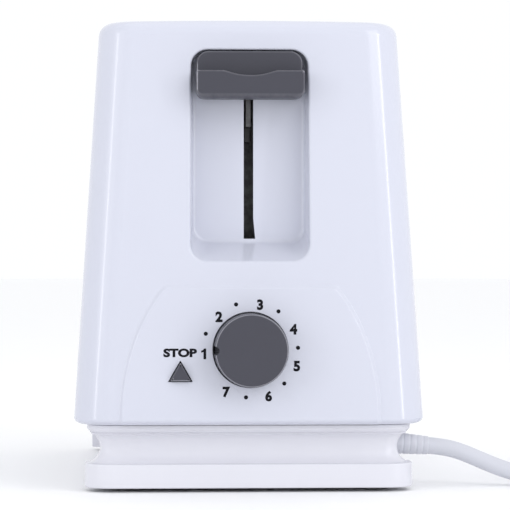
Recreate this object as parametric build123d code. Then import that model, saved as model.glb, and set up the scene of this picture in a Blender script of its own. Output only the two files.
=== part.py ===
from build123d import *
import os
from math import cos, pi, radians, sin, sqrt, tan

# Pop up toaster, millimetres. +X right seen from the lever end, -Y the lever end, +Z up.
# The model is drawn about the middle of the body and moved along Y when it is written,
# so that the origin is the bottom centre of the toaster without its cord.

# ---------------------------------------------------------------- driving dimensions
BODY_BOTTOM = 28.0
BODY_TOP = 196.0
BODY_WIDTH = 146.0
BODY_LENGTH = 262.0
TOP_WIDTH = 124.6
TOP_LENGTH = 240.6
BODY_CORNER = 16.0
TOP_CORNER = 15.0
TOP_ROUND = 6.5
CROWN = 0.8
BOTTOM_ROUND = 2.4
WALL = 2.4
ROOF = 3.0
LIP = 6.0

SLOT_WIDTH = 30.0
SLOT_LENGTH = 150.0
SLOT_X = 26.0
SLOT_Y = 8.0
SLOT_CORNER = 6.0
SLOT_ROUND = 1.6
COLLAR = 1.6
COLLAR_BOTTOM = 187.0

RECESS_WIDTH = 49.6
RECESS_BOTTOM = 95.4
RECESS_TOP = 183.4
RECESS_BACK = -110.7
RECESS_FRONT = -126.7
RECESS_SIDE_DRAFT = 1.3
RECESS_FLOOR_RISE = 8.1
RECESS_CORNER = 7.0
RECESS_RIM = 0.9
RECESS_WALL = 2.2
LEVER_SLOT = 4.0
LEVER_SLOT_TOP = 181.5

PANEL_HALF = 54.2
PANEL_REACH = 72.9
PANEL_CENTRE = 31.3
PANEL_TOP = 85.8
PANEL_RAISE = 1.2
PANEL_BEVEL = 1.9
PANEL_CORNER = 3.0

KNOB_Z = 59.1
KNOB_RADIUS = 15.1
KNOB_STANDS = 13.0
KNOB_GAP = 0.5
KNOB_CHAMFER = 1.2
NOTCH_RADIUS = 1.8
WELL_WALL = 2.0
WELL_FLOOR = -123.6
SHAFT_RADIUS = 3.0
RUNNING = 0.05

STOP_X = -28.9
STOP_Z = 48.9
STOP_SIDE = 8.9
STOP_STANDS = 2.4
STOP_GAP = 0.35
STOP_TRAVEL = 2.5

BLOCK_WIDTH = 136.8
BLOCK_BOTTOM = 1.7
BLOCK_TOP = 11.7
BLOCK_CORNER = 12.0
MOULDING_WIDTH = 135.0
MOULDING_BOTTOM = 24.6
MOULDING_TOP = 27.8
MOULDING_CHAMFER = 1.0
NECK_WIDTH = 133.0
COVE_RADIUS = 6.9
COVE_Z = 18.2
COVE_DEEPEST = 124.1
BASE_WALL = 2.5
BASE_FLOOR = 4.2
EDGE_ROUND = 0.8
GRIP_HALF = 62.2
GRIP_FRONT = -104.0
GRIP_REAR = 112.0

FOOT_X = 47.6
FOOT_Y = 100.0
FOOT_TOP_RADIUS = 5.6
FOOT_BOTTOM_RADIUS = 4.1
FOOT_PLUG_RADIUS = 2.5

CHAMBER_FRONT = -80.0
CHAMBER_REAR = 96.0
CHAMBER_HALF = 51.0
SHEET = 1.0
CHASSIS_BOTTOM = 15.0
CHASSIS_TOP = 184.0
TOP_PLATE = 1.2

TRAVEL = 57.0
RACK_X = 26.0
RACK_TOP = 92.0
RACK_HEIGHT = 8.0
RACK_SHEET = 1.2
RACK_PINS = 7
RACK_PIN_HALF = 10.0

PLATE_Y = -86.0
ROD_X = 18.0
ROD_Y = -95.0
ROD_RADIUS = 2.5
SPRING_RADIUS = 4.0
SPRING_WIRE = 0.5
SPRING_TURNS = 13
MECHANISM_FLOOR = 26.0
LOWER_EAR = 134.0
UPPER_EAR = 176.0

POST_X = 54.0
POST_Y = 112.0
POST_RADIUS = 4.0
POST_TOP = 48.0
SCREW_RADIUS = 1.7
SCREW_HOLE = 1.7
SCREW_HEAD = 3.2
HEATER_LOW = 38.0
HEATER_HIGH = 152.0
HEATER_X = 46.0
HEATER_SHEET = 0.8
RIBBON_ROWS = 12
RIBBON = 1.6
RIBBON_THICK = 0.3

GUARD_LOW = 32.0
GUARD_HIGH = 176.0
GUARD_INNER = 12.0
GUARD_OUTER = 40.0
GUARD_WIRES = 9
GUARD_RADIUS = 0.8
ARM_HALF = 1.0
ARM_FRONT = -107.9
ARM_LOW = 146.0
NOSE_LOW = 168.5
NOSE_HIGH = 178.0
NOSE_FRONT = -121.0
LEVER_HALF = 22.3
LEVER_TOP = 182.8
LEVER_LEDGE = 174.2
LEVER_BOTTOM = 162.6
LEVER_BACK = -114.0
LEVER_PLATE_FRONT = -122.0
LEVER_LIP_FRONT = -132.5
LEVER_TOP_CORNER = 5.0
LEVER_LOW_CORNER = 3.5
SCOOP_HALF = 9.0
SCOOP_DEEP = 2.0

LEVER_EDGE = 1.2
MAGNET_X = -8.0
MAGNET_Y = -95.0
MAGNET_TOP = 72.0

MAGNET_BASE = 42.0
COIL_WINDING_RADIUS = 5.0
COIL_FLANGE_RADIUS = 5.8

BOARD_Y = -111.0
BOARD_SHEET = 1.6
BOARD_HALF = 45.0
BOARD_TOP = 92.0

TRAY_HALF = 50.0
TRAY_FLOOR = 4.6
TRAY_TOP = 9.4
TRAY_FRONT = -76.0
TRAY_TRAVEL = 190.0

CORD_DIAMETER = 7.2
CORD_EXIT_Y = -94.0
CORD_EXIT_Z = 18.2
WALL_OUT = 62.5
RELIEF_FLANGE = 6.5
RELIEF_ROOT_X = 60.5
RELIEF_DROOP = 5.0
RELIEF_END = 77.0
RELIEF_RADIUS = 4.6
RELIEF_TIP = 3.9
LYING = CORD_DIAMETER / 2 + 0.05
COIL_X = 170.0
COIL_Y = -72.5
COIL_RADIUS = 41.0
COIL_SLACK = 0.5

PLUG_RADIUS = 18.0
PLUG_HEAD = 17.0
PLUG_GRIP = 42.0
PLUG_LENGTH = 62.0
PLUG_AXIS = PLUG_RADIUS + 0.05
PLUG_NECK_END = (219.4, 27.0, PLUG_AXIS)
PIN_RADIUS = 2.4
PIN_LENGTH = 19.0
PIN_ROOT = 6.0
PIN_SPACING = 19.0
EARTH_HOLE_Y = 10.0

# ---------------------------------------------------------------- what follows from them
LEAN = (BODY_WIDTH - TOP_WIDTH) / 2 / (BODY_TOP - BODY_BOTTOM)
CROWN_RADIUS = (TOP_WIDTH / 2) ** 2 / (2 * CROWN)


def front_face(z):
    """Y of the body's front face at a height."""
    return -(BODY_LENGTH / 2 - (z - BODY_BOTTOM) * LEAN)


KNOB_FRONT = front_face(KNOB_Z) - PANEL_RAISE - KNOB_STANDS
SHIFT_Y = -(KNOB_FRONT + BODY_LENGTH / 2) / 2


# ---------------------------------------------------------------- helpers
def block(x0, x1, y0, y1, z0, z1):
    """Square-edged block between two corners."""
    middle = Pos((x0 + x1) / 2, (y0 + y1) / 2, (z0 + z1) / 2)
    return middle * Box(x1 - x0, y1 - y0, z1 - z0)


def bar(start, end, radius):
    """Round bar from one point to another."""
    start = Vector(start)
    run = Vector(end) - start
    plane = Plane(origin=start, z_dir=run)
    return plane * Cylinder(radius, run.length, align=(Align.CENTER, Align.CENTER, Align.MIN))


def cone(start, end, radius_start, radius_end):
    """Tapered round bar from one point to another."""
    start = Vector(start)
    run = Vector(end) - start
    plane = Plane(origin=start, z_dir=run)
    align = (Align.CENTER, Align.CENTER, Align.MIN)
    return plane * Cone(radius_start, radius_end, run.length, align=align)


def upright(x, y, z0, z1, radius):
    """Round bar standing up."""
    return bar((x, y, z0), (x, y, z1), radius)


def rounded_layer(width, length, corner, z0, z1):
    """Slab with rounded corners between two heights."""
    return extrude(Plane.XY.offset(z0) * RectangleRounded(width, length, corner), z1 - z0)


def section(z, inset):
    """Level section of the body at a height, inset from its outer face."""
    share = (z - BODY_BOTTOM) / (BODY_TOP - BODY_BOTTOM)
    width = BODY_WIDTH + (TOP_WIDTH - BODY_WIDTH) * share
    length = BODY_LENGTH + (TOP_LENGTH - BODY_LENGTH) * share
    corner = BODY_CORNER + (TOP_CORNER - BODY_CORNER) * share
    outline = RectangleRounded(width - 2 * inset, length - 2 * inset, corner - inset)
    return Plane.XY.offset(z) * outline


def body_block(z0, z1, inset):
    """The body's tapered block between two heights."""
    return loft([section(z0, inset), section(z1, inset)], ruled=True)


# ---------------------------------------------------------------- outer shell
def panel_outline(shrink):
    """Panel seen from the front: an ellipse cut level at its top and carried straight down."""
    half = PANEL_HALF - shrink
    reach = PANEL_REACH - shrink
    top = PANEL_TOP - shrink
    ellipse = Pos(0, PANEL_CENTRE) * Ellipse(half, reach)
    below = BODY_BOTTOM - 10
    window = Pos(0, (top + below) / 2) * Rectangle(2 * half + 1, top - below)
    skirt = Pos(0, (PANEL_CENTRE + below) / 2) * Rectangle(2 * half, PANEL_CENTRE - below)
    outline = (ellipse & window) + skirt
    corners = outline.vertices().sort_by(Axis.Y)[-2:]
    return fillet(corners, PANEL_CORNER)


def raised_panel():
    """Panel standing on the leaning front face, its flanks bevelled all round."""
    face = Plane(origin=(0, front_face(0), 0), x_dir=(1, 0, 0), z_dir=(0, -1, LEAN))
    foot = face.offset(-PANEL_RAISE) * panel_outline(0)
    root = face * panel_outline(0)
    crest = face.offset(PANEL_RAISE) * panel_outline(PANEL_BEVEL)
    return extrude(foot, PANEL_RAISE) + loft([root, crest], ruled=True)


def recess_block(grow, back):
    """Lever recess, narrowing and with its floor rising towards the back wall."""
    depth = RECESS_BACK - RECESS_FRONT
    ends = []
    for y in (RECESS_FRONT - 6.0, RECESS_BACK + back):
        share = (y - RECESS_FRONT) / depth
        width = RECESS_WIDTH - 2 * RECESS_SIDE_DRAFT * share + 2 * grow
        low = RECESS_BOTTOM + RECESS_FLOOR_RISE * share - grow
        high = RECESS_TOP + grow
        plane = Plane(origin=(0, y, (low + high) / 2), x_dir=(1, 0, 0), z_dir=(0, -1, 0))
        ends.append(plane * RectangleRounded(width, high - low, RECESS_CORNER - share + grow))
    return loft(ends, ruled=True)


def bread_slots(grow, z0, z1):
    """Both bread slots as upright blocks."""
    slots = Part()
    for side in (-1, 1):
        outline = RectangleRounded(SLOT_WIDTH + 2 * grow, SLOT_LENGTH + 2 * grow, SLOT_CORNER + grow)
        slots += Pos(side * SLOT_X, SLOT_Y, z0) * extrude(outline, z1 - z0)
    return slots


def stop_outline(grow):
    """Triangle of the stop button, grown all round."""
    inner = STOP_SIDE / (2 * sqrt(3))
    reach = 2 * (inner + grow)
    points = [(0, reach)]
    for angle in (210, 330):
        points.append((reach * cos(radians(angle)), reach * sin(radians(angle))))
    outline = make_face(Polyline(*points, close=True))
    return Pos(STOP_X, STOP_Z) * outline


def outer_shell():
    body = body_block(BODY_BOTTOM, BODY_TOP + 2, 0)
    crown_centre = BODY_TOP - CROWN_RADIUS
    crown = Pos(0, 0, crown_centre) * Rot(90, 0, 0) * Cylinder(CROWN_RADIUS, BODY_LENGTH + 20)
    body &= crown
    body = fillet(body.faces().sort_by(Axis.Z)[-1].edges(), TOP_ROUND)
    body = fillet(body.faces().sort_by(Axis.Z)[0].edges(), BOTTOM_ROUND)

    panel = raised_panel() & (Pos(0, -PANEL_RAISE, 0) * body)

    body -= recess_block(0, 0)
    rim = []
    for edge in body.edges():
        middle = edge.center()
        near = abs(middle.X) < RECESS_WIDTH / 2 + 2 and RECESS_BOTTOM - 3 < middle.Z < RECESS_TOP + 3
        if near and middle.Y < RECESS_FRONT + 8 and abs(middle.Y - front_face(middle.Z)) < 0.3:
            rim.append(edge)
    body = fillet(rim, RECESS_RIM)

    slots = bread_slots(0, 100, BODY_TOP + 10)
    body -= slots
    rim = []
    for edge in body.edges():
        middle = edge.center()
        box = edge.bounding_box()
        inside = abs(middle.X) < SLOT_X + SLOT_WIDTH / 2 + 1 and abs(middle.Y - SLOT_Y) < SLOT_LENGTH / 2 + 1
        if inside and box.min.Z > BODY_TOP - 3:
            rim.append(edge)
    body = fillet(rim, SLOT_ROUND)
    body += panel

    hollow = body_block(BODY_BOTTOM + WALL, BODY_TOP - ROOF, WALL)
    hollow -= recess_block(RECESS_WALL, RECESS_WALL)
    hollow -= bread_slots(COLLAR, COLLAR_BOTTOM, BODY_TOP)
    hollow -= bar((0, -140, KNOB_Z), (0, WELL_FLOOR, KNOB_Z), KNOB_RADIUS + KNOB_GAP + WELL_WALL)
    hollow -= corner_posts()
    shell = body - hollow
    shell -= rounded_layer(BODY_WIDTH - 2 * LIP, BODY_LENGTH - 2 * LIP, BODY_CORNER - LIP, 20, 32)
    shell += corner_posts() & body_block(BODY_BOTTOM, BODY_TOP, 1.0)

    shell -= bar((0, -150, KNOB_Z), (0, WELL_FLOOR - WELL_WALL, KNOB_Z), KNOB_RADIUS + KNOB_GAP)
    shell -= bar((0, -150, KNOB_Z), (0, -110, KNOB_Z), SHAFT_RADIUS + 0.6)
    shell -= extrude(Plane.XZ.offset(100) * stop_outline(STOP_GAP), 50)
    shell -= block(-LEVER_SLOT / 2, LEVER_SLOT / 2, RECESS_BACK - 3, -100,
                   RECESS_BOTTOM + RECESS_FLOOR_RISE, LEVER_SLOT_TOP)
    for x, y in post_places():
        shell -= upright(x, y, 20, 45, SCREW_HOLE)
    return shell


# ---------------------------------------------------------------- shell fastening
def post_places():
    return [(sx * POST_X, sy * POST_Y) for sx in (-1, 1) for sy in (-1, 1)]


def corner_posts():
    """Screw posts in the shell's corners, each tied to both walls by a rib."""
    posts = Part()
    for x, y in post_places():
        out_x = x / POST_X
        out_y = y / POST_Y
        post = upright(x, y, BODY_BOTTOM + 0.1, POST_TOP, POST_RADIUS)
        xs = sorted((x, out_x * BODY_WIDTH / 2))
        ys = sorted((y, out_y * BODY_LENGTH / 2))
        post += block(xs[0], xs[1], y - 1, y + 1, BODY_BOTTOM + 0.1, POST_TOP)
        post += block(x - 1, x + 1, ys[0], ys[1], BODY_BOTTOM + 0.1, POST_TOP)
        posts += post
    return posts


# ---------------------------------------------------------------- base
def base_housing():
    extra = BODY_LENGTH - BODY_WIDTH
    base = rounded_layer(BLOCK_WIDTH, BLOCK_WIDTH + extra, BLOCK_CORNER, BLOCK_BOTTOM, BLOCK_TOP)
    base = fillet(base.edges().group_by(Axis.Z)[-1] + base.edges().group_by(Axis.Z)[0], EDGE_ROUND)
    base += rounded_layer(NECK_WIDTH, NECK_WIDTH + extra, BLOCK_CORNER - 1.9, BLOCK_TOP, MOULDING_BOTTOM)
    moulding = rounded_layer(MOULDING_WIDTH, MOULDING_WIDTH + extra, BLOCK_CORNER - 0.9,
                             MOULDING_BOTTOM, MOULDING_TOP)
    moulding = chamfer(moulding.edges().group_by(Axis.Z)[0], MOULDING_CHAMFER)
    base += moulding

    cove_width = COVE_DEEPEST + 2 * COVE_RADIUS
    cove_corner = BLOCK_CORNER + (cove_width - BLOCK_WIDTH) / 2
    path = Plane.XY.offset(COVE_Z) * RectangleRounded(cove_width, cove_width + extra, cove_corner)
    path = path.face().outer_wire()
    start = path @ 0
    profile = Plane(origin=start, z_dir=path % 0) * Circle(COVE_RADIUS)
    base -= sweep(profile, path=path)

    inner = COVE_DEEPEST - 2 * BASE_WALL
    low = BLOCK_WIDTH - 2 * BASE_WALL
    base -= rounded_layer(inner, inner + extra, 4.0, BASE_FLOOR, MOULDING_TOP + 5)
    base -= rounded_layer(inner, low + extra, 4.0, BASE_FLOOR, BLOCK_TOP - BASE_WALL)
    for side in (-1, 1):
        grip = sorted((side * GRIP_HALF, side * BODY_WIDTH / 2))
        base -= block(grip[0], grip[1], GRIP_FRONT, GRIP_REAR, 0, COVE_Z)

    for y in (CHAMBER_FRONT, CHAMBER_REAR):
        base += block(-inner / 2 - 1, inner / 2 + 1, y - 3, y + 4, CHASSIS_BOTTOM - 3, CHASSIS_BOTTOM)
    for side in (-1, 1):
        rail = sorted((side * (TRAY_HALF + 0.6), side * (TRAY_HALF + 2.6)))
        base += block(rail[0], rail[1], TRAY_FRONT - 2, 122, BASE_FLOOR - 0.5, CHASSIS_BOTTOM - 3)
    for x, y in post_places():
        base += upright(x, y, BLOCK_BOTTOM + 0.2, MOULDING_TOP, POST_RADIUS + 1)
        base -= upright(x, y, 0, MOULDING_TOP + 2, SCREW_RADIUS + 0.3)
        base -= upright(x, y, 0, BASE_FLOOR + 2, SCREW_HEAD + 0.3)
    for y in vent_rows():
        base -= block(-30, 30, y - 1.5, y + 1.5, 0, BASE_FLOOR + 1)

    rear = BODY_LENGTH / 2
    base -= block(-TRAY_HALF - 0.6, TRAY_HALF + 0.6, rear - 30, rear, BASE_FLOOR, TRAY_TOP + 0.4)
    base -= bar((55, CORD_EXIT_Y, CORD_EXIT_Z), (WALL_OUT, CORD_EXIT_Y, CORD_EXIT_Z), RELIEF_RADIUS)
    base -= bar((WALL_OUT, CORD_EXIT_Y, CORD_EXIT_Z), (72, CORD_EXIT_Y, CORD_EXIT_Z), RELIEF_RADIUS + 0.8)
    for x, y in foot_places():
        base -= upright(x, y, 0, BASE_FLOOR - 0.8, FOOT_PLUG_RADIUS)
    return base


def vent_rows():
    """Y of the cooling slits in the base floor, ahead of the crumb tray."""
    return [-108 + 7 * row for row in range(4)]


def foot_places():
    return [(sx * FOOT_X, sy * FOOT_Y) for sy in (-1, 1) for sx in (-1, 1)]


def foot(x, y):
    """Tapered foot with a plug that presses into the base floor."""
    pad = cone((x, y, 0), (x, y, BLOCK_BOTTOM), FOOT_BOTTOM_RADIUS, FOOT_TOP_RADIUS)
    return pad + upright(x, y, BLOCK_BOTTOM, BASE_FLOOR - 0.8, FOOT_PLUG_RADIUS)


def base_screws():
    """Four long screws from under the base into the shell's posts."""
    screws = Part()
    for x, y in post_places():
        head = upright(x, y, BASE_FLOOR - 0.4, BASE_FLOOR + 2, SCREW_HEAD)
        screws += head + upright(x, y, BASE_FLOOR + 2, 44, SCREW_RADIUS)
    return screws


# ---------------------------------------------------------------- chassis
def bulkhead(y):
    """Upright end plate of the toasting chamber, slit for the two bread racks."""
    plate = block(-CHAMBER_HALF - 2, CHAMBER_HALF + 2, y, y + SHEET, CHASSIS_BOTTOM, CHASSIS_TOP)
    for side in (-1, 1):
        x = side * RACK_X
        plate -= block(x - 1.6, x + 1.6, y - 1, y + SHEET + 1, 22, RACK_TOP + 4)
    for z in (120, 165):
        plate -= bar((0, y - 1, z), (0, y + SHEET + 1, z), 6)
    return plate


def chassis_top_plate():
    """Slot frame lying on both bulkheads."""
    plate = block(-55, 55, CHAMBER_FRONT - 2, CHAMBER_REAR + SHEET + 2, CHASSIS_TOP, CHASSIS_TOP + TOP_PLATE)
    plate += block(-12, 30, -103, CHAMBER_FRONT - 1, CHASSIS_TOP, CHASSIS_TOP + TOP_PLATE)
    plate -= bread_slots(1.0, CHASSIS_TOP - 5, CHASSIS_TOP + 5)
    plate -= upright(ROD_X, ROD_Y, CHASSIS_TOP - 1, CHASSIS_TOP + 5, ROD_RADIUS)
    return plate


def mechanism_floor():
    """Shelf ahead of the front bulkhead that carries the rod, magnet and board."""
    shelf = block(-46, 46, -113, CHAMBER_FRONT, MECHANISM_FLOOR - 1.5, MECHANISM_FLOOR)
    shelf += block(-46, 46, CHAMBER_FRONT - 1.5, CHAMBER_FRONT, CHASSIS_BOTTOM + 2, MECHANISM_FLOOR)
    for side in (-1, 1):
        x = side * RACK_X
        shelf -= block(x - 2.5, x + 2.5, CHAMBER_FRONT - 3, CHAMBER_FRONT + 1, 20, MECHANISM_FLOOR + 1)
    shelf -= upright(ROD_X, ROD_Y, 20, MECHANISM_FLOOR + 1, ROD_RADIUS)
    return shelf


def side_reflector(side):
    xs = sorted((side * CHAMBER_HALF, side * (CHAMBER_HALF + 0.8)))
    return block(xs[0], xs[1], CHAMBER_FRONT + SHEET, CHAMBER_REAR, CHASSIS_BOTTOM + 3, CHASSIS_TOP)


def heater_board(x):
    return block(x - HEATER_SHEET / 2, x + HEATER_SHEET / 2, CHAMBER_FRONT + SHEET, CHAMBER_REAR,
                 HEATER_LOW, HEATER_HIGH)


def heating_ribbon(x):
    """Flat resistance ribbon wound round the board: level runs on both faces."""
    ribbon = []
    step = (HEATER_HIGH - HEATER_LOW - 14) / (RIBBON_ROWS - 1)
    for face in (-1, 1):
        near = x + face * HEATER_SHEET / 2
        xs = sorted((near, near + face * RIBBON_THICK))
        for row in range(RIBBON_ROWS):
            z = HEATER_LOW + 7 + row * step
            ribbon.append(block(xs[0], xs[1], CHAMBER_FRONT + 8, CHAMBER_REAR - 7, z, z + RIBBON))
    return Compound(ribbon)


def bread_guard(x):
    """Grid that keeps the bread off the elements: two rails and upright wires."""
    guard = Part()
    for z in (GUARD_LOW, GUARD_HIGH):
        guard += bar((x, CHAMBER_FRONT + SHEET, z), (x, CHAMBER_REAR, z), GUARD_RADIUS + 0.4)
    step = (CHAMBER_REAR - CHAMBER_FRONT - 24) / (GUARD_WIRES - 1)
    for wire in range(GUARD_WIRES):
        y = CHAMBER_FRONT + 12 + wire * step
        guard += upright(x, y, GUARD_LOW, GUARD_HIGH, GUARD_RADIUS)
    return guard


# ---------------------------------------------------------------- carriage
def guide_rod():
    return upright(ROD_X, ROD_Y, MECHANISM_FLOOR - 1.5, CHASSIS_TOP + TOP_PLATE, ROD_RADIUS)


def return_spring():
    """Compression spring round the rod, from the shelf to the carriage's lower ear."""
    low = MECHANISM_FLOOR + SPRING_WIRE + 0.1
    high = LOWER_EAR - SPRING_WIRE - 0.1
    height = high - low
    helix = Pos(ROD_X, ROD_Y, low) * Helix(height / SPRING_TURNS, height, SPRING_RADIUS)
    wire = Plane(origin=helix @ 0, z_dir=helix % 0) * Circle(SPRING_WIRE)
    return sweep(wire, path=helix, is_frenet=True)


def carriage_plate():
    """T-shaped slide plate with two ears that run on the guide rod."""
    low = RACK_TOP - RACK_HEIGHT + 1
    plate = block(-10, 24, PLATE_Y, PLATE_Y + 1.2, LOWER_EAR - 6, UPPER_EAR + 2)
    plate += block(-10, 10, PLATE_Y, PLATE_Y + 1.2, low, LOWER_EAR)
    plate += block(-30, 30, PLATE_Y, PLATE_Y + 1.2, low, RACK_TOP + 6)
    for z in (LOWER_EAR, UPPER_EAR):
        ear = block(12, 24, -101, PLATE_Y, z, z + 1.2)
        plate += ear - upright(ROD_X, ROD_Y, z - 1, z + 3, ROD_RADIUS + 0.6)
    return plate


def slider_bushing():
    bushing = upright(ROD_X, ROD_Y, LOWER_EAR + 1.2, UPPER_EAR, 4.6)
    return bushing - upright(ROD_X, ROD_Y, LOWER_EAR, UPPER_EAR + 1, ROD_RADIUS + RUNNING)


def lever_arm():
    """Upright steel web behind the slot, with a nose that reaches into the lever knob."""
    arm = block(-ARM_HALF, ARM_HALF, ARM_FRONT, PLATE_Y, ARM_LOW, NOSE_HIGH + 1)
    arm -= block(-5, 5, ARM_FRONT - 1, -98, ARM_LOW - 6, ARM_LOW + 6)
    return arm + block(-ARM_HALF, ARM_HALF, NOSE_FRONT, ARM_FRONT, NOSE_LOW, NOSE_HIGH)


def lever_knob():
    """Finger piece: an upright plate with a deep lip, dished in the middle of its ledge."""
    plate = block(-LEVER_HALF, LEVER_HALF, LEVER_PLATE_FRONT, LEVER_BACK, LEVER_BOTTOM, LEVER_TOP)
    upper = [edge for edge in plate.edges().filter_by(Axis.Y) if edge.center().Z > LEVER_LEDGE]
    plate = fillet(upper, LEVER_TOP_CORNER)
    lower = [edge for edge in plate.edges().filter_by(Axis.Y) if edge.center().Z < LEVER_BOTTOM + 1]
    plate = fillet(lower, LEVER_LOW_CORNER)
    lip = block(-LEVER_HALF, LEVER_HALF, LEVER_LIP_FRONT, LEVER_PLATE_FRONT, LEVER_BOTTOM, LEVER_LEDGE)
    lower = [edge for edge in lip.edges().filter_by(Axis.Y) if edge.center().Z < LEVER_BOTTOM + 1]
    lip = fillet(lower, LEVER_LOW_CORNER)
    front = lip.faces().sort_by(Axis.Y)[0]
    lip = fillet(front.edges(), LEVER_EDGE)
    scoop_radius = (SCOOP_HALF ** 2 + SCOOP_DEEP ** 2) / (2 * SCOOP_DEEP)
    centre = LEVER_LEDGE - SCOOP_DEEP + scoop_radius
    lip -= bar((0, LEVER_LIP_FRONT - 5, centre), (0, LEVER_PLATE_FRONT, centre), scoop_radius)
    knob = plate + lip
    knob -= block(-ARM_HALF, ARM_HALF, NOSE_FRONT, LEVER_BACK + 1, NOSE_LOW, NOSE_HIGH)
    return knob


def bread_rack(side):
    """Upright blade along the chamber with level pins that carry the slice."""
    x = side * RACK_X
    low = RACK_TOP - RACK_HEIGHT
    rack = block(x - RACK_SHEET / 2, x + RACK_SHEET / 2, PLATE_Y + 1.2, CHAMBER_REAR + 8, low, RACK_TOP)
    step = (CHAMBER_REAR - CHAMBER_FRONT - 40) / (RACK_PINS - 1)
    for pin in range(RACK_PINS):
        y = CHAMBER_FRONT + 20 + pin * step
        rack += bar((x - RACK_PIN_HALF, y, RACK_TOP - 2), (x + RACK_PIN_HALF, y, RACK_TOP - 2), 1.1)
    return rack


def armature_keeper():
    """Steel flag on the carriage that the magnet holds when the lever is down."""
    low = MAGNET_TOP + 0.3 + TRAVEL
    return block(MAGNET_X - 7, MAGNET_X + 6, MAGNET_Y - 6, PLATE_Y, low, low + 1.5)


# ---------------------------------------------------------------- electrics
def magnet_core():
    """L-shaped yoke standing on the shelf, with the round pole the coil sits on."""
    core = block(MAGNET_X - 8, MAGNET_X + 6, MAGNET_Y - 6, MAGNET_Y + 5.5, MAGNET_BASE, MAGNET_BASE + 2)
    core += block(MAGNET_X - 8, MAGNET_X - 6, MAGNET_Y - 6, MAGNET_Y + 5.5, MECHANISM_FLOOR, MAGNET_BASE)
    return core + upright(MAGNET_X, MAGNET_Y, MAGNET_BASE + 2, MAGNET_TOP, 2.5)


def magnet_coil():
    coil = upright(MAGNET_X, MAGNET_Y, MAGNET_BASE + 4, 66, COIL_WINDING_RADIUS)
    for z in (MAGNET_BASE + 2, 66):
        coil += upright(MAGNET_X, MAGNET_Y, z, z + 2, COIL_FLANGE_RADIUS)
    return coil - upright(MAGNET_X, MAGNET_Y, 40, MAGNET_TOP, 2.5)


def timer_board():
    board = block(-BOARD_HALF, BOARD_HALF, BOARD_Y, BOARD_Y + BOARD_SHEET, MECHANISM_FLOOR, BOARD_TOP)
    return board - bar((0, BOARD_Y - 1, KNOB_Z), (0, BOARD_Y + 3, KNOB_Z), SHAFT_RADIUS + 0.6)


def board_components():
    """Capacitor, relay-size rectifier, timer chip and resistors on the board's rear face."""
    rear = BOARD_Y + BOARD_SHEET
    pieces = [bar((30, rear, 80), (30, rear + 12, 80), 5.0)]
    pieces.append(block(24, 40, rear, rear + 7, 52, 64))
    pieces.append(block(-40, -32, rear, rear + 3.2, 66, 76))
    for x in (-40, -35, -30, 33, 38):
        pieces.append(bar((x, rear + 1.3, 34), (x, rear + 1.3, 42), 1.25))
    return Compound(pieces)


def browning_potentiometer():
    """Rotary control on the board's rear face, bored for its shaft."""
    rear = BOARD_Y + BOARD_SHEET
    body = bar((0, rear, KNOB_Z), (0, rear + 6.5, KNOB_Z), 8.0)
    return body - bar((0, rear - 1, KNOB_Z), (0, rear + 4, KNOB_Z), SHAFT_RADIUS + RUNNING)


def potentiometer_shaft():
    return bar((0, KNOB_FRONT + 4, KNOB_Z), (0, BOARD_Y + BOARD_SHEET + 3.9, KNOB_Z), SHAFT_RADIUS)


def stop_switch():
    return block(STOP_X - 4, STOP_X + 4, BOARD_Y - 5, BOARD_Y, STOP_Z - 4, STOP_Z + 4)


def terminal_block():
    return block(24, 44, -108, -94, 8, 22) - bar((20, -101, 15), (50, -101, 15), 1.6)


def mains_contacts():
    """Two pairs of leaf contacts that the carriage closes, on the shelf's left end."""
    leaves = []
    for x in (-42, -34):
        leaves.append(block(x, x + 4, -104, -103.4, MECHANISM_FLOOR, 50))
        leaves.append(block(x, x + 4, -99, -98.4, MECHANISM_FLOOR, 52))
    return Compound(leaves)


def internal_leads():
    """Three insulated leads from the cord's end to the terminal block and up to the board."""
    leads = []
    for z in (12, 15, 18):
        leads.append(bar((44, -97 - (z - 12) / 1.5, z), (50, -97 - (z - 12) / 1.5, z), 1.1))
    for x in (28, 34):
        leads.append(bar((x, -104, 22), (x, -104, MECHANISM_FLOOR - 1.5), 1.1))
    return Compound(leads)


def cord_clamp():
    """Bridge that grips the cord just inside the base."""
    return block(50, 56, CORD_EXIT_Y - 8, CORD_EXIT_Y + 8, 10.5, 23.5)


# ---------------------------------------------------------------- controls
def browning_knob():
    """Round knob with a chamfered rim, a half-round pointer notch and a bore for the shaft."""
    rear = WELL_FLOOR - WELL_WALL - 1.0
    knob = bar((0, rear, KNOB_Z), (0, KNOB_FRONT, KNOB_Z), KNOB_RADIUS)
    knob = chamfer(knob.faces().sort_by(Axis.Y)[0].edges(), KNOB_CHAMFER)
    knob -= bar((-KNOB_RADIUS, KNOB_FRONT - 1, KNOB_Z), (-KNOB_RADIUS, KNOB_FRONT + 6, KNOB_Z), NOTCH_RADIUS)
    return knob - bar((0, KNOB_FRONT + 4, KNOB_Z), (0, -110, KNOB_Z), SHAFT_RADIUS)


def stop_button():
    """Triangular button with a retaining flange behind the panel and a stem to the switch."""
    front = front_face(STOP_Z) - PANEL_RAISE - STOP_STANDS
    inside = front_face(STOP_Z) + WALL + 1.2
    cap = extrude(Plane.XZ.offset(-inside) * stop_outline(0), inside - front)
    cap = fillet(cap.faces().sort_by(Axis.Y)[0].edges(), 0.5)
    flange = extrude(Plane.XZ.offset(-inside - 1.0) * stop_outline(1.6), 1.0)
    stem = bar((STOP_X, inside + 1, STOP_Z), (STOP_X, BOARD_Y - 5.4 - STOP_TRAVEL, STOP_Z), 1.8)
    return cap + flange + stem


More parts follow.
